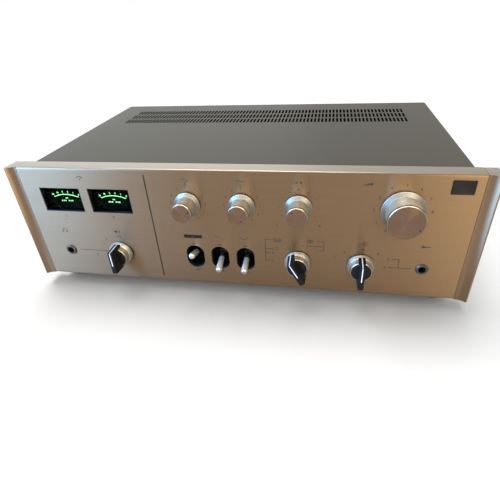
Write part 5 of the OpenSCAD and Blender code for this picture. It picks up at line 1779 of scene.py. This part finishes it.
    def plug(self, bm, place):
        """A plug with a ringed tip."""
        self.area(bm, ((-2.8, 0.8), (-0.6, 0.8), (-0.6, -0.8), (-2.8, -0.8)), place)
        self.area(bm, ((-0.5, 0.35), (1.4, 0.35), (1.4, -0.35), (-0.5, -0.35)), place)
        self.area(bm, ((1.7, 0.35), (2.4, 0.35), (2.8, 0.0), (2.4, -0.35), (1.7, -0.35)), place)


class AMPLIFIER_OT_phono_sockets(Operator):
    """Phono sockets: plated shells with coloured rings, in two rows"""

    bl_idname = "amplifier.phono_sockets"
    bl_label = "Phono sockets"

    def execute(self, context):
        sizes = context.scene.amplifier_rear
        low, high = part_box("phono_sockets")
        flange = sizes.phono_flange
        bm = bmesh.new()
        finishes = ("brass", "red", "pale", "black")
        for ring, z in (("red", low.z + flange), ("pale", high.z - flange)):
            for column in range(sizes.phono_columns):
                x = high.x - flange - column * sizes.phono_pitch
                place = rear_frame(Vector((x, REAR_Y, z)))
                self.socket(bm, sizes, place, high.y - REAR_Y, finishes.index(ring), finishes.index("black"))
        make_piece("phono_socket_rows", bm, finishes, "chassis", ["phono_sockets"], sharp=35)
        return {"FINISHED"}

    def socket(self, bm, sizes, place, tip, ring, dark):
        """A shell that ends at a height, with a coloured ring and a dark hole in it."""
        flange = sizes.phono_flange
        shell = sizes.phono
        hole = PHONO_HOLE
        root = tip - sizes.phono_length
        inside = shell - PHONO_WALL
        recess = tip - PHONO_RECESS
        turned(bm, [
            (0.0, -PHONO_IN), (shell, -PHONO_IN), (shell, 0.0), (flange, 0.0), (flange, root),
            (shell, root), (shell, tip), (inside, tip), (inside, recess), (0.0, recess),
        ], place, steps=40, rounding=0.15 * MM)
        back = tip - RING_DEPTH
        front = tip - RING_DROP
        turned(bm, [
            (hole, back), (inside, back), (inside, front), (hole, front),
        ], place, steps=40, rounding=0.1 * MM, closed=True, material=ring)
        front = tip - HOLE_DROP
        back = front - HOLE_FLOOR
        turned(bm, [
            (0.0, back), (hole, back), (hole, front), (0.0, front),
        ], place, steps=24, material=dark)


# Shares of a terminal screw's head: the radius of its neck and of its flat top, and half its slot's length.
TERMINAL_NECK = 0.8
TERMINAL_FLAT = 0.65
TERMINAL_SLOT = 0.6

TERMINAL_FINISHES = ("brass", "black")


class AMPLIFIER_OT_terminals(Operator):
    """Speaker terminals: black blocks with ribs, and slotted brass screws"""

    bl_idname = "amplifier.terminals"
    bl_label = "Speaker terminals"

    def execute(self, context):
        sizes = context.scene.amplifier_rear
        low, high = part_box("speaker_terminals")
        middle = (low.x + high.x) / 2
        blocks = bmesh.new()
        screws = bmesh.new()
        half = sizes.block_width / 2
        tall = sizes.block_height / 2
        pitch = (sizes.block_width - RIB) / sizes.terminals
        for z in (low.z + tall, high.z - tall):
            place = rear_frame(Vector((middle, REAR_Y, z)))
            block(blocks, (-half, -tall, 0), (half, tall, sizes.block), place, bevel=0.5 * MM)
            tongue = sizes.block
            tongue_high = (half - tongue, tall / 2, BLOCK_OVERLAP)
            block(blocks, (tongue - half, -tall / 2, -tongue), tongue_high, place)
            for i in range(sizes.terminals + 1):
                x = i * pitch - half
                rib_top = sizes.block + RIB_OUT
                block(blocks, (x, -tall, 0), (x + RIB, tall, rib_top), place, bevel=0.4 * MM)
            for i in range(sizes.terminals):
                x = (i + 0.5) * pitch + RIB / 2 - half
                self.screw(screws, sizes, place @ Matrix.Translation((x, 0, 0)))
        make_piece("terminal_blocks", blocks, ["black"], "chassis", ["speaker_terminals"])
        make_piece("terminal_heads", screws, TERMINAL_FINISHES, "chassis", ["terminal_screws"])
        return {"FINISHED"}

    def screw(self, bm, sizes, place):
        """A slotted screw on a washer."""
        seat = sizes.block
        top = seat + sizes.terminal_height
        head = sizes.terminal_head
        neck = head * TERMINAL_NECK
        flat = head * TERMINAL_FLAT
        washer = seat + WASHER
        turned(bm, [
            (0.0, 0.0), (TERMINAL_SHANK, 0.0), (TERMINAL_SHANK, seat), (head, seat), (head, washer),
            (neck, washer), (neck, top - TERMINAL_EDGE), (flat, top), (0.0, top),
        ], place, steps=36, rounding=0.1 * MM)
        reach = head * TERMINAL_SLOT
        half = SLOT_WIDTH / 2
        dark = TERMINAL_FINISHES.index("black")
        slot_low = (-reach, -half, top - SLOT_DEPTH)
        block(bm, slot_low, (reach, half, top + SLOT_PAINT), place, material=dark)


# Radius at the bottom of the ground terminal's flutes as a share of its rim's.
FLUTE = 0.94


class AMPLIFIER_OT_ground_terminal(Operator):
    """Ground terminal: a stepped thumb screw with a fluted rim"""

    bl_idname = "amplifier.ground_terminal"
    bl_label = "Ground terminal"

    def execute(self, context):
        sizes = context.scene.amplifier_rear
        inside = REAR_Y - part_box("ground_terminal")[0].y
        middle = middle_of("ground_terminal")
        place = rear_frame(Vector((middle.x, REAR_Y, middle.z)))
        bm = bmesh.new()
        step = GROUND_STEP
        slim = sizes.ground - GROUND_WAIST
        turned(bm, [
            (0.0, -inside), (TERMINAL_SHANK, -inside), (TERMINAL_SHANK, 0.0),
            (slim, 0.0), (slim, 2 * step), (0.0, 2 * step),
        ], place, steps=48, rounding=0.3 * MM)
        part = bmesh.new()
        made = bmesh.ops.create_cone(
            part, cap_ends=True, segments=48, radius1=sizes.ground, radius2=sizes.ground, depth=step,
        )
        bmesh.ops.translate(part, vec=(0, 0, step / 2), verts=made["verts"])
        upright = [edge for edge in part.edges if abs(edge.verts[0].co.z - edge.verts[1].co.z) > NEAR]
        for edge in upright[::2]:
            bmesh.ops.scale(part, vec=(FLUTE, FLUTE, 1), verts=edge.verts)
        absorb(bm, part, place)
        make_piece("ground_thumb_screw", bm, ["chrome"], "chassis", ["ground_terminal"])
        return {"FINISHED"}


# Height of the gland's straight rim as a share of its flange.
GLAND_WALL = 0.6


class AMPLIFIER_OT_cord_gland(Operator):
    """Cord gland: a rounded rubber grommet with a bore for the mains cord"""

    bl_idname = "amplifier.cord_gland"
    bl_label = "Cord gland"

    def execute(self, context):
        sizes = context.scene.amplifier_rear
        low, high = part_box("cord_gland")
        middle = middle_of("cord_gland")
        place = rear_frame(Vector((middle.x, REAR_Y, middle.z)))
        rim = (high.x - low.x) / 2
        sheet = context.scene.amplifier_case.sheet
        flange = GLAND_FLANGE
        bore = sizes.gland_bore
        neck = GLAND_NECK
        bm = bmesh.new()
        turned(bm, [
            (bore, -sheet - flange), (rim, -sheet - flange), (rim, -sheet), (neck, -sheet), (neck, 0.0),
            (rim, 0.0), (rim, flange * GLAND_WALL), (rim - GLAND_CHAMFER, flange), (bore, flange),
        ], place, steps=60, rounding=0.5 * MM, closed=True)
        make_piece("cord_grommet", bm, ["rubber"], "chassis", ["cord_gland"], sharp=35)
        return {"FINISHED"}


# Half the floor's width and the nearest distance the camera sees, in metres, and its sensor in millimetres.
FLOOR_REACH = 60.0
CAMERA_NEAR = 0.01
SENSOR = 36.0

# Heights of a direction, out of 1 overhead, between which the air dims.
AIR_LOW = 0.05
AIR_HIGH = 0.5

# The panel lights: their places, widths and heights in metres, their tones, and the point they face.
LIGHTS = {
    "cool": ((-1.15, -0.95, 0.6), (0.8, 1.2), (0.2, 0.48, 1.0)),
    "warm": ((0.82, -1.36, 0.6), (0.65, 1.2), (1.0, 0.87, 0.58)),
    "back": ((-0.95, 1.2, 0.62), (2.3, 0.6), (0.9, 0.96, 1.0)),
    "rim": ((0.05, -0.75, 1.2), (3.0, 0.5), (1.0, 0.95, 0.86)),
    "streak": ((0.15, -1.15, 0.8), (2.2, 0.4), (0.96, 0.98, 1.0)),
}
LIGHT_AIM = (0.0, 0.0, 0.06)


class AMPLIFIER_OT_stage(Operator):
    """Stage: a plain pale floor, soft lights and the camera"""

    bl_idname = "amplifier.stage"
    bl_label = "Stage"

    def execute(self, context):
        scene = context.scene
        settings = scene.amplifier_stage
        floor = self.floor(scene.amplifier_colours.floor)
        self.camera(scene, settings)
        self.air(scene, settings)
        self.overhead(scene, settings)
        lights = {name: self.light(name, getattr(settings, name)) for name in LIGHTS}
        self.spare_floor(floor, [lights[name] for name in ("cool", "warm", "back")])
        receivers = bpy.data.collections.new(RIM_LIT)
        for name in ("rim", "streak"):
            lights[name].light_linking.receiver_collection = receivers
        scene.view_settings.view_transform = "Standard"
        return {"FINISHED"}

    def floor(self, base):
        """A wide floor at the feet."""
        part = bmesh.new()
        bmesh.ops.create_grid(part, x_segments=1, y_segments=1, size=FLOOR_REACH)
        mesh = bpy.data.meshes.new("floor")
        part.to_mesh(mesh)
        part.free()
        mesh.materials.append(finish("pale_floor", base, (0.75, 0.85), (3.0,) * 3, 0.01))
        floor = bpy.data.objects.new("floor", mesh)
        floor.location.z = CAD_BOX[0][2]
        bpy.context.scene.collection.objects.link(floor)
        return floor

    def camera(self, scene, settings):
        """A camera where the photograph was taken."""
        data = bpy.data.cameras.new("camera")
        data.sensor_width = SENSOR
        data.lens = settings.lens
        data.clip_start = CAMERA_NEAR
        camera = bpy.data.objects.new("camera", data)
        place = Vector((settings.camera_x, FACE_Y - settings.camera_front, PANEL_LOW.z + settings.camera_up))
        aim = Matrix.Rotation(settings.heading, 4, "Z")
        aim = aim @ Matrix.Rotation(math.pi / 2 - settings.pitch, 4, "X")
        aim = aim @ Matrix.Rotation(settings.roll, 4, "Z")
        camera.matrix_world = Matrix.Translation(place) @ aim
        scene.collection.objects.link(camera)
        scene.camera = camera

    def air(self, scene, settings):
        """A pale light from all round that is a little dimmer overhead."""
        world = bpy.data.worlds.new("air")
        world.use_nodes = True
        tree = world.node_tree
        coords = tree.nodes.new("ShaderNodeTexCoord")
        axes = tree.nodes.new("ShaderNodeSeparateXYZ")
        ramp = tree.nodes.new("ShaderNodeValToRGB")
        low, high = ramp.color_ramp.elements
        low.position = AIR_LOW
        high.position = AIR_HIGH
        low.color = [settings.horizon] * 3 + [1.0]
        high.color = [settings.zenith] * 3 + [1.0]
        tree.links.new(coords.outputs["Generated"], axes.inputs["Vector"])
        tree.links.new(axes.outputs["Z"], ramp.inputs["Fac"])
        tree.links.new(ramp.outputs["Color"], tree.nodes["Background"].inputs["Color"])
        scene.world = world

    def overhead(self, scene, settings):
        """A wide soft light from above."""
        data = bpy.data.lights.new("top_light", "SUN")
        data.energy = settings.top
        data.angle = settings.top_spread
        light = bpy.data.objects.new("top_light", data)
        light.rotation_euler = (settings.top_tilt, settings.top_lean, 0.0)
        scene.collection.objects.link(light)

    def light(self, name, power):
        """A soft panel light of the list, aimed at the amplifier."""
        place, size, tone = LIGHTS[name]
        data = bpy.data.lights.new(name + "_light", "AREA")
        data.shape = "RECTANGLE"
        data.size, data.size_y = size
        data.energy = power
        data.color = tone
        light = bpy.data.objects.new(name + "_light", data)
        aim = Vector(LIGHT_AIM) - Vector(place)
        light.matrix_world = Matrix.Translation(place) @ aim.to_track_quat("-Z", "Y").to_matrix().to_4x4()
        light.visible_camera = False
        bpy.context.scene.collection.objects.link(light)
        return light

    def spare_floor(self, floor, lights):
        """Keeps the tinted lights off the floor, so that its shadow stays grey."""
        spared = bpy.data.collections.new("spared_floor")
        spared.objects.link(floor)
        spared.collection_objects[0].light_linking.link_state = "EXCLUDE"
        for light in lights:
            light.light_linking.receiver_collection = spared


class AMPLIFIER_PT_sidebar(Panel):
    """Lists the amplifier's settings and the operators that make it"""

    bl_idname = "AMPLIFIER_PT_sidebar"
    bl_label = "Amplifier"
    bl_space_type = "VIEW_3D"
    bl_region_type = "UI"
    bl_category = "Amplifier"

    def draw(self, context):
        for operator in OPERATORS:
            self.layout.operator(operator.bl_idname)
        for name, group in GROUPS.items():
            box = self.layout.box()
            box.label(text=group.__doc__)
            for setting in group.__annotations__:
                box.prop(getattr(context.scene, name), setting)


GROUPS = {
    "amplifier_panel": PanelSizes,
    "amplifier_case": CaseSizes,
    "amplifier_knobs": KnobSizes,
    "amplifier_print": PrintSizes,
    "amplifier_rear": RearSizes,
    "amplifier_colours": Colours,
    "amplifier_stage": StageSettings,
}

OPERATORS = (
    AMPLIFIER_OT_stage,
    AMPLIFIER_OT_finishes,
    AMPLIFIER_OT_fascia,
    AMPLIFIER_OT_end_caps,
    AMPLIFIER_OT_badge,
    AMPLIFIER_OT_cover,
    AMPLIFIER_OT_screws,
    AMPLIFIER_OT_feet,
    AMPLIFIER_OT_turned_knobs,
    AMPLIFIER_OT_pointer_knobs,
    AMPLIFIER_OT_levers,
    AMPLIFIER_OT_jack_nuts,
    AMPLIFIER_OT_meter_prints,
    AMPLIFIER_OT_dial_prints,
    AMPLIFIER_OT_panel_prints,
    AMPLIFIER_OT_phono_sockets,
    AMPLIFIER_OT_terminals,
    AMPLIFIER_OT_ground_terminal,
    AMPLIFIER_OT_cord_gland,
)


def register():
    """Registers the settings, the operators and the sidebar."""
    for group in GROUPS.values():
        bpy.utils.register_class(group)
    for operator in OPERATORS:
        bpy.utils.register_class(operator)
    bpy.utils.register_class(AMPLIFIER_PT_sidebar)
    for name, group in GROUPS.items():
        setattr(bpy.types.Scene, name, PointerProperty(type=group))


def unregister():
    """Takes the settings, the operators and the sidebar away again."""
    for name in GROUPS:
        delattr(bpy.types.Scene, name)
    bpy.utils.unregister_class(AMPLIFIER_PT_sidebar)
    for operator in reversed(OPERATORS):
        bpy.utils.unregister_class(operator)
    for group in reversed(GROUPS.values()):
        bpy.utils.unregister_class(group)


def main():
    """Makes the amplifier."""
    register()
    bpy.ops.amplifier.stage()
    bpy.ops.amplifier.finishes()
    bpy.ops.amplifier.fascia()
    bpy.ops.amplifier.end_caps()
    bpy.ops.amplifier.badge()
    bpy.ops.amplifier.cover()
    bpy.ops.amplifier.screws()
    bpy.ops.amplifier.feet()
    bpy.ops.amplifier.turned_knobs()
    bpy.ops.amplifier.pointer_knobs()
    bpy.ops.amplifier.levers()
    bpy.ops.amplifier.jack_nuts()
    bpy.ops.amplifier.meter_prints()
    bpy.ops.amplifier.dial_prints()
    bpy.ops.amplifier.panel_prints()
    bpy.ops.amplifier.phono_sockets()
    bpy.ops.amplifier.terminals()
    bpy.ops.amplifier.ground_terminal()
    bpy.ops.amplifier.cord_gland()


if __name__ == "__main__":
    main()
